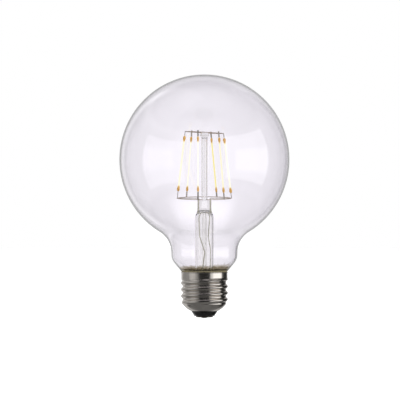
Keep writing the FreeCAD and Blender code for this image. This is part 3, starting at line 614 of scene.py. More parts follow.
def add_piece(name, mesh, material, slot, *nodes):
    """Puts a finished mesh on the lamp's body in place of the nodes it stands for."""
    mesh.name = name
    mesh.materials.clear()
    mesh.materials.append(material)
    mesh.shade_smooth()
    mesh.set_sharp_from_angle(angle=SHARP_ANGLE)
    piece = bpy.data.objects.new(name, mesh)
    bpy.context.scene.collection.objects.link(piece)
    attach(piece, BODY)
    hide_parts(*nodes)
    return piece


def smoothed(node):
    """A merged copy of a node's mesh, whose round faces can be shaded smooth."""
    form = bmesh.new()
    form.from_mesh(NODES[node].data)
    bmesh.ops.remove_doubles(form, verts=form.verts, dist=WELD_DISTANCE)
    mesh = bpy.data.meshes.new(node)
    form.to_mesh(mesh)
    form.free()
    return mesh


def dress(node, material):
    """Gives a node that stays as it is its own finish."""
    NODES[node].data.materials.clear()
    NODES[node].data.materials.append(material)


def axis_ends(node):
    """The two ends of a long node's middle line, the lower one first."""
    points = np.array([vertex.co for vertex in NODES[node].data.vertices])
    middle = (points.min(0) + points.max(0)) / 2
    direction = np.linalg.svd(points - points.mean(0), full_matrices=False)[2][0]
    direction = direction if direction[2] > 0 else -direction
    reach = (points - middle) @ direction
    return Vector(middle + direction * reach.min()), Vector(middle + direction * reach.max())


def evenly(start, end, count):
    """Evenly spaced values from one to another, both included."""
    return [start + (end - start) * n / count for n in range(count + 1)]


def smooth_step(share):
    """A share from 0 to 1 that starts and ends gently."""
    share = min(max(share, 0), 1)
    return share * share * (3 - 2 * share)


# Glass pieces

def envelope_side(glass, inset, top):
    """The envelope's outline from the crown down to the tail, on its outside or inset by the wall."""
    globe_radius = node_size("glass_envelope", 0) / 2
    globe_centre = top - globe_radius
    out = glass.neck_radius + glass.shoulder_radius
    drop = math.sqrt((globe_radius + glass.shoulder_radius) ** 2 - out**2)
    shoulder_height = globe_centre - drop
    lean = math.atan2(-drop, out)
    run = glass.neck_radius - glass.throat_radius - glass.bend_radius * (1 - math.cos(glass.throat_angle))
    fall = run / math.tan(glass.throat_angle) + glass.bend_radius * math.sin(glass.throat_angle)
    bend_top = glass.throat_height + fall
    bend_centre = (glass.neck_radius - glass.bend_radius, bend_top)
    tail_centre = (glass.throat_radius, glass.throat_height - glass.tail_fillet)
    tail_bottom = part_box("glass_envelope")[0].z
    tail_radius = glass.throat_radius - glass.tail_fillet - inset
    points = arc((0, globe_centre), globe_radius - inset, math.pi / 2, lean, 110)
    points[0] = (0, points[0][1])
    points += arc((out, shoulder_height), glass.shoulder_radius + inset, lean + math.pi, math.pi, 24)[1:]
    points += line(points[-1], (glass.neck_radius - inset, bend_top), 2)
    points += arc(bend_centre, glass.bend_radius - inset, 0, -glass.throat_angle, 14)[1:]
    # Inside, the bend into the tail starts later, where the throat's inner side meets it
    entry = math.pi / 2 + (math.radians(14) if inset else 0)
    tail = arc(tail_centre, glass.tail_fillet + inset, entry, math.pi, 8)
    points += line(points[-1], tail[0], 5)
    points += tail[1:]
    points += line(points[-1], (tail_radius, tail_bottom), 3)
    return points


def stem_ring(glass, height, inset, turns):
    """One ring of the stem: round in the tube, drawn out to a flat slot in the press."""
    low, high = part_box("stem_tube")
    tube = glass.stem_radius - inset
    flat = smooth_step((height - glass.press_start) / (glass.press_full - glass.press_start))
    flare = max(glass.flare_top - height, 0) / (glass.flare_top - low.z)
    bulge = (high.x - glass.stem_radius) * (1 - math.sqrt(max(1 - flare**2, 0)))
    half_width = tube + bulge + (glass.press_width / 2 - tube) * flat
    half_depth = tube + bulge + (glass.press_thickness / 2 - tube) * flat
    # The ring's exponent is 2 where it is round, and this much more where it is flat and squarer
    squareness = 2.2
    power = 2 / (2 + squareness * flat)
    ring = []
    for n in range(turns):
        turn = math.tau * n / turns
        x, y = math.cos(turn), math.sin(turn)
        across = half_width * math.copysign(abs(x) ** power, x)
        back = half_depth * math.copysign(abs(y) ** power, y)
        ring.append((across, back, height))
    return ring


def stem_mesh(glass, turns=96):
    """The flared tube with its pressed top, as one closed skin from the press's crown to the bore's dome."""
    low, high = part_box("stem_tube")
    edge_height = high.z - glass.press_edge
    dome_height = glass.cavity_top - glass.cavity_dome
    outer_heights = evenly(low.z, glass.flare_top, 14)
    outer_heights += evenly(glass.flare_top, glass.press_start, 20)[1:-1]
    outer_heights += evenly(glass.press_start, edge_height, 26)
    outer = [stem_ring(glass, height, 0, turns) for height in outer_heights]
    rim = outer[-1]
    for turn in evenly(0, math.pi / 2, 4)[1:]:
        shrink = 1 - (1 - math.cos(turn)) * glass.press_edge / (glass.press_thickness / 2)
        height = edge_height + glass.press_edge * math.sin(turn)
        outer.append([(x * shrink, y * shrink, height) for x, y, _ in rim])
    outer.append([(0, 0, high.z)])
    inner_heights = evenly(low.z, glass.flare_top, 14)
    inner_heights += evenly(glass.flare_top, dome_height, 20)[1:]
    inner = [stem_ring(glass, height, glass.stem_wall, turns) for height in inner_heights]
    foot = inner[-1]
    # The dome closes a little sooner from front to back, where the tube was squeezed
    squeeze = 1.2
    for turn in evenly(0, math.pi / 2, 9)[1:-1]:
        height = dome_height + glass.cavity_dome * math.sin(turn)
        inner.append([(x * math.cos(turn), y * math.cos(turn) ** squeeze, height) for x, y, _ in foot])
    inner.append([(0, 0, glass.cavity_top)])
    return skin(list(reversed(outer)) + inner, closed=False)


def exhaust_outline(glass):
    """The pumping tube's outline, sealed off to a round tip."""
    low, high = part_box("exhaust_tube")
    radius = high.x
    bore = radius - glass.exhaust_wall
    tip_height = low.z + radius
    tip = arc((0, tip_height), radius, 0, -math.pi / 2, 10)
    tip[-1] = (0, tip[-1][1])
    outline = [(radius, high.z)] + line((radius, high.z), (radius, tip_height), 24) + tip[1:]
    inside = [(0, tip_height), (bore, tip_height + glass.exhaust_wall)]
    return outline + inside + line(inside[-1], (bore, high.z), 24)


def rod_outline(glass):
    """The bored rod, closed at its top by a button that widens softly out of it."""
    low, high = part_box("centre_rod")
    rod, bore, button = glass.rod_radius, glass.rod_bore, high.x
    rod_top = high.z - glass.button_height
    edge = glass.button_edge
    bore_top = high.z - glass.button_solid
    outline = [(bore, low.z), (rod, low.z)]
    outline += line(outline[-1], (rod, rod_top), 30)
    for share in evenly(0, 1, 8)[1:]:
        outline.append((rod + (button - rod) * smooth_step(share), rod_top + glass.button_neck * share))
    outline += arc((button - edge, high.z - edge), edge, 0, math.pi / 2, 8)
    outline += [(0, high.z), (0, bore_top)]
    outline += arc((0, bore_top - bore), bore, math.pi / 2, 0, 8)[1:]
    # The last point stays just above the first, which closes the outline
    return outline + line(outline[-1], (bore, low.z + 0.1 * MM), 24)


class LAMP_OT_materials(bpy.types.Operator):
    """Makes the lamp's finishes"""

    bl_idname = "lamp.materials"
    bl_label = "Make the finishes"

    def execute(self, context):
        scene = context.scene
        blown_soda_lime_glass(scene.lamp_colours, scene.lamp_glass)
        drawn_stem_glass(scene.lamp_colours)
        nickel_plated_brass(scene.lamp_colours)
        phosphor_silicone(scene.lamp_colours, scene.lamp_strips)
        metal_finishes(scene.lamp_colours)
        moulded_and_baked_finishes(scene.lamp_colours)
        return {"FINISHED"}


class LAMP_OT_envelope(bpy.types.Operator):
    """Blows the envelope: globe, hollow shoulder, neck and throat in one thin wall"""

    bl_idname = "lamp.envelope"
    bl_label = "Blow the envelope"

    def execute(self, context):
        glass = context.scene.lamp_glass
        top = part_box("glass_envelope")[1].z
        outline = envelope_side(glass, 0, top) + envelope_side(glass, glass.wall, top)[::-1]
        mesh = spun(outline, glass.turns)
        add_piece("blown_envelope", mesh, finish("blown soda-lime glass"), "envelope_glass", "glass_envelope")
        return {"FINISHED"}


class LAMP_OT_stem(bpy.types.Operator):
    """Draws the stem tube with its press, the pumping tube and the rod with its button"""

    bl_idname = "lamp.stem"
    bl_label = "Draw the stem"

    def execute(self, context):
        glass = context.scene.lamp_glass
        stem_glass = finish("drawn stem glass")
        add_piece("flared_stem", stem_mesh(glass), stem_glass, "stem_glass", "stem_tube")
        add_piece("pumping_tube", spun(exhaust_outline(glass), 48), stem_glass, "stem_glass", "exhaust_tube")
        add_piece("glass_rod", spun(rod_outline(glass), 64), stem_glass, "stem_glass", "centre_rod")
        return {"FINISHED"}


def wire_tree():
    """Geometry nodes that draw round wire along every run of a curve."""
    tree = bpy.data.node_groups.new("drawn wire", "GeometryNodeTree")
    face = tree.interface
    face.new_socket("Geometry", in_out="INPUT", socket_type="NodeSocketGeometry")
    face.new_socket("Wire Radius", in_out="INPUT", socket_type="NodeSocketFloat")
    face.new_socket("Wire", in_out="INPUT", socket_type="NodeSocketMaterial")
    face.new_socket("Geometry", in_out="OUTPUT", socket_type="NodeSocketGeometry")
    given = add_node(tree, "NodeGroupInput").outputs
    section = add_node(
        tree,
        "GeometryNodeCurvePrimitiveCircle",
        {"mode": "RADIUS"},
        {"Resolution": 12, "Radius": given["Wire Radius"]},
    ).outputs[0]
    drawn = add_node(
        tree,
        "GeometryNodeCurveToMesh",
        inputs={"Curve": given["Geometry"], "Profile Curve": section, "Fill Caps": True},
    ).outputs[0]
    real = add_node(tree, "GeometryNodeRealizeInstances", inputs={"Geometry": drawn}).outputs[0]
    named = add_node(
        tree, "GeometryNodeSetMaterial", inputs={"Geometry": real, "Material": given["Wire"]}
    ).outputs[0]
    add_node(tree, "NodeGroupOutput", inputs={"Geometry": named})
    return tree


def wire_curve(runs):
    """A curve of several runs of points, each closed or open."""
    curve = bpy.data.curves.new("wire", "CURVE")
    curve.dimensions = "3D"
    for points, closed in runs:
        spline = curve.splines.new("POLY")
        spline.points.add(len(points) - 1)
        for point, place in zip(spline.points, points):
            point.co = (*place, 1)
        spline.use_cyclic_u = closed
    return curve


def upper_ring(cage):
    """Points on the upper ring, whose tilt to the right is read from its node's own box."""
    low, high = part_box("upper_ring")
    node_wire = (high.y - low.y) / 2 - cage.upper_radius
    tilt = math.asin(((high.z - low.z) / 2 - node_wire) / cage.upper_radius)
    middle = (low + high) / 2

    def place(radius, turn):
        across = radius * math.cos(turn)
        return middle + Vector((across * math.cos(tilt), radius * math.sin(turn), -across * math.sin(tilt)))

    return place


def lower_frame(cage):
    """Points on the lower ring, which is pitched up at the back."""
    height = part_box("centre_rod")[0].z + cage.leg

    def place(radius, turn):
        back = radius * math.sin(turn)
        rise = back * math.sin(cage.lower_tilt)
        return Vector((radius * math.cos(turn), back * math.cos(cage.lower_tilt), height + rise))

    return place


class LAMP_OT_wires(bpy.types.Operator):
    """Bends the wire frames and the leads"""

    bl_idname = "lamp.wires"
    bl_label = "Bend the wires"

    def execute(self, context):
        cage = context.scene.lamp_cage
        tree = wire_tree()
        nickel = finish("drawn nickel wire")
        values = {"Wire Radius": cage.wire_radius, "Wire": nickel}
        ring = upper_ring(cage)
        hoop = [ring(cage.upper_radius, math.tau * n / 72) for n in range(72)]
        bar = [ring(cage.upper_radius, math.pi), ring(cage.upper_radius, 0)]
        wires = wire_curve([(hoop, True), (bar, False)])
        mesh = grown("upper_hoop", wires, tree, values)
        add_piece("upper_hoop", mesh, nickel, "support_wire", "upper_ring")
        # Each foot rises straight for most of its height, and turns into its spoke near the knee
        straight, turn_starts, turn_ends = 0.7, 0.02, 0.1
        place = lower_frame(cage)
        for side, node in ((-1, "lower_frame_left"), (1, "lower_frame_right")):
            start = (math.pi / 2 if side < 0 else -math.pi / 2) + cage.gap / 2
            half = [place(cage.lower_radius, turn) for turn in evenly(start, start + math.pi - cage.gap, 40)]
            foot = Vector((side * cage.lead_spread, 0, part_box(node)[0].z))
            knee = Vector((foot.x, 0, place(0, 0).z))
            rim = place(cage.lower_radius, math.pi if side < 0 else 0)
            turned = [knee.lerp(rim, share) for share in (turn_starts, turn_ends)]
            wires = wire_curve([(half, False), ([foot, foot.lerp(knee, straight), *turned, rim], False)])
            add_piece(f"{node}_bent", grown(node, wires, tree, values), nickel, "support_wire", node)
        for node in ("lead_wire_left", "lead_wire_right"):
            add_piece(f"{node}_drawn", smoothed(node), finish("oxidised lead wire"), "lead_wire", node)
        return {"FINISHED"}


# Filament strips

def strip_tree():
    """Geometry nodes that coat a strip's middle line and mark how far along it each point lies."""
    tree = bpy.data.node_groups.new("coated strip", "GeometryNodeTree")
    face = tree.interface
    face.new_socket("Geometry", in_out="INPUT", socket_type="NodeSocketGeometry")
    sizes = ("Width", "Thickness", "End Length", "Drop Full", "Drop Length", "Drop Swell", "Ripple")
    for name in (*sizes, "Ripple Density", "Warmth"):
        face.new_socket(name, in_out="INPUT", socket_type="NodeSocketFloat")
    face.new_socket("Outward", in_out="INPUT", socket_type="NodeSocketVector")
    face.new_socket("Coating", in_out="INPUT", socket_type="NodeSocketMaterial")
    face.new_socket("Geometry", in_out="OUTPUT", socket_type="NodeSocketGeometry")
    given = add_node(tree, "NodeGroupInput").outputs
    curve = add_node(
        tree, "GeometryNodeResampleCurve", inputs={"Curve": given["Geometry"], "Count": 120}
    ).outputs[0]
    position = add_node(tree, "GeometryNodeSplineParameter").outputs
    for name, value in (("along", position["Factor"]), ("warmth", given["Warmth"])):
        curve = add_node(
            tree,
            "GeometryNodeStoreNamedAttribute",
            {"data_type": "FLOAT", "domain": "POINT"},
            {"Geometry": curve, "Name": name, "Value": value},
        ).outputs[0]
    turned = add_node(
        tree, "GeometryNodeSetCurveNormal", {"mode": "FREE"}, {"Curve": curve, "Normal": given["Outward"]}
    ).outputs[0]
    # The coating is round at its tips, swollen to a drop next to them, and plain in between
    span = add_node(tree, "GeometryNodeSplineLength").outputs["Length"]
    to_far_end = add_node(
        tree, "ShaderNodeMath", {"operation": "SUBTRACT"}, {0: span, 1: position["Length"]}
    ).outputs[0]
    to_end = add_node(
        tree, "ShaderNodeMath", {"operation": "MINIMUM"}, {0: position["Length"], 1: to_far_end}
    ).outputs[0]
    tip = add_node(
        tree,
        "ShaderNodeMapRange",
        inputs={"Value": to_end, "From Max": given["End Length"], "To Min": 1.0, "To Max": 0.0},
    ).outputs[0]
    squared = add_node(tree, "ShaderNodeMath", {"operation": "MULTIPLY"}, {0: tip, 1: tip}).outputs[0]
    rest = add_node(tree, "ShaderNodeMath", {"operation": "SUBTRACT"}, {0: 1.0, 1: squared}).outputs[0]
    rounding = add_node(tree, "ShaderNodeMath", {"operation": "SQRT"}, {0: rest}).outputs[0]
    drop = add_node(
        tree,
        "ShaderNodeMapRange",
        {"interpolation_type": "SMOOTHSTEP"},
        {
            "Value": to_end,
            "From Min": given["Drop Full"],
            "From Max": given["Drop Length"],
            "To Min": 1.0,
            "To Max": 0.0,
        },
    ).outputs[0]
    swollen = add_node(
        tree, "ShaderNodeMath", {"operation": "MULTIPLY_ADD"}, {0: drop, 1: given["Drop Swell"], 2: 1.0}
    ).outputs[0]
    shape = add_node(tree, "ShaderNodeMath", {"operation": "MULTIPLY"}, {0: rounding, 1: swollen}).outputs[0]
    least = 0.02
    fullness = add_node(tree, "ShaderNodeMath", {"operation": "MAXIMUM"}, {0: shape, 1: least}).outputs[0]
    circle = add_node(
        tree, "GeometryNodeCurvePrimitiveCircle", {"mode": "RADIUS"}, {"Resolution": 24, "Radius": 0.5}
    ).outputs[0]
    flat = add_node(
        tree, "ShaderNodeCombineXYZ", inputs={"X": given["Width"], "Y": given["Thickness"], "Z": 1.0}
    ).outputs[0]
    section = add_node(tree, "GeometryNodeTransform", inputs={"Geometry": circle, "Scale": flat}).outputs[0]
    coat = add_node(
        tree,
        "GeometryNodeCurveToMesh",
        inputs={"Curve": turned, "Profile Curve": section, "Scale": fullness, "Fill Caps": True},
    ).outputs[0]
    noise = add_node(
        tree, "ShaderNodeTexNoise", inputs={"Scale": given["Ripple Density"], "Detail": 1.0}
    ).outputs["Fac"]
    swing = add_node(tree, "ShaderNodeMath", {"operation": "SUBTRACT"}, {0: noise, 1: 0.5}).outputs[0]
    depth = add_node(
        tree, "ShaderNodeMath", {"operation": "MULTIPLY"}, {0: swing, 1: given["Ripple"]}
    ).outputs[0]
    normal = add_node(tree, "GeometryNodeInputNormal").outputs[0]
    offset = add_node(
        tree, "ShaderNodeVectorMath", {"operation": "SCALE"}, {0: normal, "Scale": depth}
    ).outputs[0]
    uneven = add_node(
        tree, "GeometryNodeSetPosition", inputs={"Geometry": coat, "Offset": offset}
    ).outputs[0]
    real = add_node(tree, "GeometryNodeRealizeInstances", inputs={"Geometry": uneven}).outputs[0]
    named = add_node(
        tree, "GeometryNodeSetMaterial", inputs={"Geometry": real, "Material": given["Coating"]}
    ).outputs[0]
    add_node(tree, "NodeGroupOutput", inputs={"Geometry": named})
    return tree


def grown(name, curve, tree, values):
    """The mesh that a node tree makes of a curve; values go to the inputs by their sockets' identifiers."""
    holder = bpy.data.objects.new(name, curve)
    bpy.context.scene.collection.objects.link(holder)
    modifier = holder.modifiers.new("grow", "NODES")
    modifier.node_group = tree
    for item in tree.interface.items_tree:
        if item.in_out == "INPUT" and item.name in values:
            modifier[item.identifier] = values[item.name]
    holder.update_tag()
    evaluated = holder.evaluated_get(bpy.context.evaluated_depsgraph_get())
    mesh = bpy.data.meshes.new_from_object(evaluated)
    holder.modifiers.remove(modifier)
    bpy.data.objects.remove(holder)
    return mesh


def away_from_axis(low, high):
    """The direction across a strip that points away from the lamp's axis."""
    along = (high - low).normalized()
    middle = (low + high) / 2
    radial = Vector((middle.x, middle.y, 0)).normalized()
    return (radial - along * radial.dot(along)).normalized()


class LAMP_OT_filaments(bpy.types.Operator):
    """Coats the six filament strips and dresses their tabs"""

    bl_idname = "lamp.filaments"
    bl_label = "Coat the filament strips"

    def execute(self, context):
        strips = context.scene.lamp_strips
        coating = finish("phosphor silicone")
        tree = strip_tree()
        values = {
            "Width": strips.width,
            "Thickness": strips.thickness,
            "End Length": strips.end_length,
            "Drop Full": strips.drop_full,
            "Drop Length": strips.drop_length,
            "Drop Swell": strips.drop_swell,
            "Ripple": strips.ripple,
            "Ripple Density": 1 / strips.ripple_size,
            "Coating": coating,
        }
        for number, warmth in enumerate(WARMTH, 1):
            node = f"filament_{number}"
            ends = axis_ends(node)
            values["Outward"] = away_from_axis(*ends)
            values["Warmth"] = warmth
            mesh = grown(node, wire_curve([(ends, False)]), tree, values)
            add_piece(f"coated_strip_{number}", mesh, coating, "filament_coating", node)
            for end in ("lower", "upper"):
                dress(f"{node}_{end}_tab", finish("stamped steel"))
        return {"FINISHED"}


# Cap

def thread_wave(cap, height):
    """How far the sheet stands out at a height from the nearest crest, as a share of the thread's depth."""
    swing = math.cos(math.tau * height / cap.thread_pitch)
    return 0.5 + 0.5 * math.copysign(abs(swing) ** cap.thread_fullness, swing)


def shell_radius(cap, turn, height, inset):
    """The shell's radius at a turn and height: lip bow, threads, ramp and skirt with its rolled rim."""
    if height < cap.taper_top:
        run = cap.root_radius - cap.lip_radius
        rise = cap.taper_top - cap.lip_height
        chord = math.hypot(run, rise)
        sag = math.sqrt(cap.lip_bow_radius**2 - chord**2 / 4)
        centre_x = (cap.root_radius + cap.lip_radius) / 2 - sag * rise / chord
        centre_z = (cap.taper_top + cap.lip_height) / 2 + sag * run / chord
        base = centre_x + math.sqrt(max(cap.lip_bow_radius**2 - (height - centre_z) ** 2, 0))
    else:
        base = cap.root_radius
    base += (cap.skirt_radius - cap.root_radius) * smooth_step(
        (height - cap.ramp_bottom) / (cap.ramp_top - cap.ramp_bottom)
    )
    crest_turn = (height - cap.thread_start) / cap.thread_pitch
    around = (turn - cap.thread_start_angle) / math.tau
    swept = around + round(crest_turn - around)
    from_crest = (crest_turn - swept) * cap.thread_pitch
    # Before the start and past the end this is negative, and the thread has no height there
    nearest_end = min(swept, cap.thread_turns - swept) * math.tau
    fade = smooth_step(nearest_end / cap.thread_run_in)
    return base + cap.thread_depth * thread_wave(cap, from_crest) * fade - inset


def shell_mesh(cap):
    """The rolled shell as one closed skin: outside up from the lip, over the rolled rim and down inside."""
    directions = [math.tau * n / cap.turns for n in range(cap.turns)]
    bead_height = cap.rim_bead * 3
    heights = evenly(cap.lip_height, cap.rim_height - bead_height, 150)

    def ring(height, inset, extra=0.0):
        places = []
        for turn in directions:
            radius = shell_radius(cap, turn, height, inset) + extra
            places.append((radius * math.cos(turn), radius * math.sin(turn), height))
        return places

    outside = [ring(height, 0) for height in heights]
    bead = []
    for turn in evenly(0, math.pi, 9)[1:-1]:
        height = heights[-1] + bead_height / 2 * (1 - math.cos(turn))
        bead.append(ring(height, 0, cap.rim_bead * math.sin(turn)))
    top_inside = ring(cap.rim_height, cap.sheet)
    # Inside, where little shows, every third row is enough
    inside = [ring(height, cap.sheet) for height in heights[::-3]]
    return skin([*outside, *bead, top_inside, *inside], closed=True)


def cement_outline(cap, glass):
    """Cement between the tail and the skirt, with a low bead that creeps up the throat above the rim."""
    tail = glass.throat_radius - glass.tail_fillet
    inside_skirt = cap.skirt_radius - cap.sheet
    bottom = cap.cement_bottom
    outline = [(tail, bottom), (inside_skirt, bottom)]
    outline += line(outline[-1], (inside_skirt, cap.rim_height), 6)
    outline += line(outline[-1], (glass.throat_radius, glass.throat_height), 4)
    centre = (glass.throat_radius, glass.throat_height - glass.tail_fillet)
    outline += arc(centre, glass.tail_fillet, math.pi / 2, math.pi, 8)[1:]
    return outline


class LAMP_OT_screw_shell(bpy.types.Operator):
    """Rolls the threaded shell"""

    bl_idname = "lamp.screw_shell"
    bl_label = "Roll the screw shell"

    def execute(self, context):
        cap = context.scene.lamp_cap
        nickel = finish("nickel-plated brass")
        add_piece("rolled_shell", shell_mesh(cap), nickel, "nickel_plated_shell", "screw_shell")
        return {"FINISHED"}


class LAMP_OT_cap_fittings(bpy.types.Operator):
    """Fills the cap with its cement, insulator, contact plate and solder bead"""

    bl_idname = "lamp.cap_fittings"
    bl_label = "Fit the cap"

    def execute(self, context):
        scene = context.scene
        cement = spun(cement_outline(scene.lamp_cap, scene.lamp_glass), 120)
        add_piece("cement_bead", cement, finish("baked capping cement"), "capping_cement", "capping_cement")
        fittings = (
            ("moulded_insulator", "insulator", "black moulded insulator", "cap_insulator"),
            ("contact_disc", "centre_contact", "nickel-washed brass plate", "contact_plate"),
            ("solder_bead", "contact_solder", "solder bead", "solder"),
        )
        for name, node, material, slot in fittings:
            add_piece(name, smoothed(node), finish(material), slot, node)
        return {"FINISHED"}


class LAMP_OT_driver(bpy.types.Operator):
    """Dresses the driver board, its parts and its wires"""

    bl_idname = "lamp.driver"
    bl_label = "Dress the driver"

    def execute(self, context):
        finishes = {
            "driver_board": "masked glass-epoxy board",
            "bridge_rectifier": "moulded component case",
            "driver_chip": "moulded component case",
            "fuse_resistor": "dipped resistor body",
            "contact_wire": "oxidised lead wire",
            "shell_wire": "oxidised lead wire",
        }
        for node, name in finishes.items():
            dress(node, finish(name))
        can = smoothed("smoothing_capacitor")
        add_piece("capacitor_can", can, finish("drawn aluminium can"), "capacitor_can", "smoothing_capacitor")
        return {"FINISHED"}


# Stage

# Patches of light that the glass and the metal mirror. Each has its sides as azimuths and its heights as
# elevations in degrees, the width of its soft edge in degrees, and its level. Azimuth 0 is the side where
# the camera stands, it grows to the right, and 180 is behind the lamp.
STUDIO_PATCHES = {
    "left half of the backdrop": ((-200, -150), (-36, 36), 14, 0.48),
    "right half of the backdrop": ((158, 200), (-36, 36), 14, 0.48),
    "right softbox": ((31, 95), (-23, 28), 3, 0.88),
    "bright middle of the right softbox": ((48, 93), (-9, 7), 9, 0.7),
    "left softbox": ((-80, -48), (-24, 19), 4, 0.25),
    "left wall": ((-150, -35), (-32, 34), 8, 0.32),
    "upper left wall": ((-150, -60), (36, 90), 10, 0.25),
    "floor": ((-180, 180), (-100, -46), 8, 0.13),
    "ceiling": ((-180, 180), (72, 100), 14, 0.24),
}

# Small spots where the white cloth behind the lamp is brighter, given as the patches are. Their azimuths
# count from the camera's side to either hand.
CLOTH_SPOTS = {
    "behind the cage": ((179.9, 200), (-0.8, 1.0), 1.0, 0.13),
    "behind the stem": ((179.35, 200), (-2.8, -0.7), 0.55, 0.13),
}

# Bounces that light needs to leave glass that stands inside glass
GLASS_BOUNCES = 32


def studio_patch(tree, azimuth, elevation, sides, heights, soft, level):
    """A soft-edged rectangle of light on the studio's wall, with its limits in degrees."""
    share = level
    for measure, (low, high) in ((azimuth, sides), (elevation, heights)):
        for start, end in ((low - soft, low), (high + soft, high)):
            edge = add_node(
                tree,
                "ShaderNodeMapRange",
                {"interpolation_type": "SMOOTHSTEP"},
                {"Value": measure, "From Min": start, "From Max": end},
            ).outputs[0]
            share = add_node(
                tree, "ShaderNodeMath", {"operation": "MULTIPLY"}, {0: share, 1: edge}
            ).outputs[0]
    return share


def studio_world(studio):
    """White cloth where it is seen or shows through glass, and the studio's patches in all that mirrors."""
    world = bpy.data.worlds.new("studio")
    world.use_nodes = True
    tree = world.node_tree
    tree.nodes.clear()
    direction = add_node(tree, "ShaderNodeTexCoord").outputs["Generated"]
    parts = add_node(tree, "ShaderNodeSeparateXYZ", inputs={0: direction}).outputs
    front = add_node(tree, "ShaderNodeMath", {"operation": "MULTIPLY"}, {0: parts["Y"], 1: -1.0}).outputs[0]
    turn = add_node(tree, "ShaderNodeMath", {"operation": "ARCTAN2"}, {0: parts["X"], 1: front}).outputs[0]
    azimuth = add_node(tree, "ShaderNodeMath", {"operation": "DEGREES"}, {0: turn}).outputs[0]
    from_front = add_node(tree, "ShaderNodeMath", {"operation": "ABSOLUTE"}, {0: azimuth}).outputs[0]
    lift = add_node(tree, "ShaderNodeMath", {"operation": "ARCSINE"}, {0: parts["Z"]}).outputs[0]
    elevation = add_node(tree, "ShaderNodeMath", {"operation": "DEGREES"}, {0: lift}).outputs[0]
    light = studio.wall_level
    for patch in STUDIO_PATCHES.values():
        share = studio_patch(tree, azimuth, elevation, *patch)
        light = add_node(tree, "ShaderNodeMath", {"operation": "ADD"}, {0: light, 1: share}).outputs[0]
    cloth = 1.0
    for spot in CLOTH_SPOTS.values():
        share = studio_patch(tree, from_front, elevation, *spot)
        cloth = add_node(tree, "ShaderNodeMath", {"operation": "ADD"}, {0: cloth, 1: share}).outputs[0]
    path = add_node(tree, "ShaderNodeLightPath").outputs
    inside_stem = add_node(
        tree, "ShaderNodeMath", {"operation": "GREATER_THAN"}, {0: path["Transmission Depth"], 1: 2.5}
    ).outputs[0]
    light = add_node(
        tree,
        "ShaderNodeMath",
        {"operation": "MULTIPLY_ADD"},
        {0: inside_stem, 1: studio.stem_level, 2: light},
    ).outputs[0]
    unmirrored = add_node(
        tree, "ShaderNodeMath", {"operation": "LESS_THAN"}, {0: path["Glossy Depth"], 1: 0.5}
    ).outputs[0]
    seen_through = add_node(
        tree, "ShaderNodeMath", {"operation": "MULTIPLY"}, {0: path["Is Transmission Ray"], 1: unmirrored}
    ).outputs[0]
    white = add_node(
        tree, "ShaderNodeMath", {"operation": "MAXIMUM"}, {0: path["Is Camera Ray"], 1: seen_through}
    ).outputs[0]
    level = add_node(tree, "ShaderNodeMix", {"data_type": "FLOAT"}, {0: white, 2: light, 3: cloth}).outputs[0]
    sky = add_node(tree, "ShaderNodeBackground", inputs={"Color": (1, 1, 1, 1), "Strength": level}).outputs[0]
    add_node(tree, "ShaderNodeOutputWorld", inputs={"Surface": sky})
    return world


def white_floor_finish(studio):
    """Matt white floor that reads as plain white where it is lit and keeps a soft shadow."""
    tree = new_finish("white studio floor")
    path = add_node(tree, "ShaderNodeLightPath").outputs
    seen = path["Is Camera Ray"]
    for ray in ("Is Transmission Ray", "Is Glossy Ray"):
        seen = add_node(tree, "ShaderNodeMath", {"operation": "MAXIMUM"}, {0: seen, 1: path[ray]}).outputs[0]
    strength = add_node(
        tree, "ShaderNodeMath", {"operation": "MULTIPLY"}, {0: seen, 1: studio.floor_glow}
    ).outputs[0]
    shader = add_node(
        tree,
        "ShaderNodeBsdfPrincipled",
        inputs={
            "Base Color": linear("#F4F4F4"),
            "Roughness": 1.0,
            "Specular IOR Level": 0.0,
            "Emission Color": (1, 1, 1, 1),
            "Emission Strength": strength,
        },
    ).outputs[0]
    add_node(tree, "ShaderNodeOutputMaterial", inputs={"Surface": shader})


def add_softbox(name, place, target, size, power):
    """A square softbox; the glass mirrors the studio's own patches instead of it."""
    lamp = bpy.data.lights.new(name, "AREA")
    lamp.shape = "SQUARE"
    lamp.size = size
    lamp.energy = power
    holder = bpy.data.objects.new(name, lamp)
    holder.location = place
    holder.rotation_euler = (target - place).to_track_quat("-Z", "Y").to_euler()
    holder.visible_glossy = False
    holder.visible_transmission = False
    holder.visible_camera = False
    bpy.context.scene.collection.objects.link(holder)


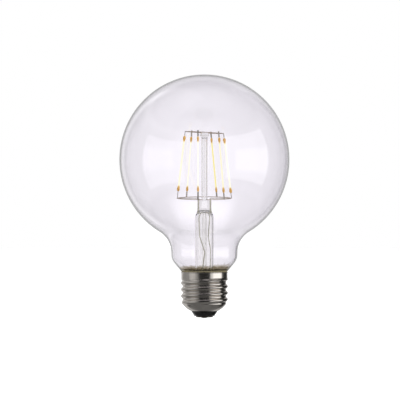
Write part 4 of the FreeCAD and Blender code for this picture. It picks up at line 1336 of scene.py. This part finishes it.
class LAMP_OT_stage(bpy.types.Operator):
    """Sets the white floor, the studio, two softboxes and the level camera"""

    bl_idname = "lamp.stage"
    bl_label = "Set the stage"

    def execute(self, context):
        scene = context.scene
        studio = scene.lamp_studio
        scene.world = studio_world(studio)
        white_floor_finish(studio)
        form = bmesh.new()
        bmesh.ops.create_circle(form, cap_ends=True, segments=96, radius=studio.floor_radius)
        bmesh.ops.translate(form, verts=form.verts, vec=(0, 0, -studio.floor_gap))
        mesh = bpy.data.meshes.new("floor")
        form.to_mesh(mesh)
        form.free()
        mesh.materials.append(finish("white studio floor"))
        floor = bpy.data.objects.new("floor", mesh)
        floor.visible_glossy = False
        floor.visible_transmission = False
        scene.collection.objects.link(floor)
        middle = Vector((0, 0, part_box("glass_envelope")[1].z / 2))
        softboxes = (("key softbox", 1, studio.key_power), ("fill softbox", -1, studio.fill_power))
        for name, side, power in softboxes:
            shares = Vector((side * studio.lamp_side, -studio.lamp_front, studio.lamp_rise))
            add_softbox(name, middle + shares * studio.lamp_distance, middle, studio.lamp_size, power)
        camera = bpy.data.cameras.new("camera")
        camera.sensor_width = 36.0
        camera.lens = camera.sensor_width * studio.camera_distance / studio.view_width
        camera.clip_start = 0.1
        camera.clip_end = 20.0
        viewer = bpy.data.objects.new("camera", camera)
        viewer.location = (studio.camera_side, -studio.camera_distance, studio.camera_height)
        viewer.rotation_euler = (math.radians(90), 0, 0)
        scene.collection.objects.link(viewer)
        scene.camera = viewer
        scene.view_settings.view_transform = "Standard"
        scene.cycles.max_bounces = GLASS_BOUNCES
        scene.cycles.transmission_bounces = GLASS_BOUNCES
        scene.cycles.transparent_max_bounces = GLASS_BOUNCES
        return {"FINISHED"}


class LAMP_PT_panel(bpy.types.Panel):
    """Lists the lamp's steps in the sidebar"""

    bl_idname = "LAMP_PT_panel"
    bl_label = "Clear globe lamp"
    bl_space_type = "VIEW_3D"
    bl_region_type = "UI"
    bl_category = "Lamp"

    def draw(self, context):
        for step in STEPS:
            self.layout.operator(step.bl_idname)
        for group in GROUPS:
            box = self.layout.box()
            settings = getattr(context.scene, group)
            for name in settings.__annotations__:
                box.prop(settings, name)


STEPS = [
    LAMP_OT_materials,
    LAMP_OT_envelope,
    LAMP_OT_stem,
    LAMP_OT_wires,
    LAMP_OT_filaments,
    LAMP_OT_screw_shell,
    LAMP_OT_cap_fittings,
    LAMP_OT_driver,
    LAMP_OT_stage,
]


def register():
    for name, group in GROUPS.items():
        bpy.utils.register_class(group)
        setattr(bpy.types.Scene, name, bpy.props.PointerProperty(type=group))
    for step in STEPS:
        bpy.utils.register_class(step)
    bpy.utils.register_class(LAMP_PT_panel)


def unregister():
    bpy.utils.unregister_class(LAMP_PT_panel)
    for step in reversed(STEPS):
        bpy.utils.unregister_class(step)
    for name, group in GROUPS.items():
        delattr(bpy.types.Scene, name)
        bpy.utils.unregister_class(group)


def main():
    register()
    for step in STEPS:
        family, name = step.bl_idname.split(".")
        getattr(getattr(bpy.ops, family), name)()


if __name__ == "__main__":
    main()
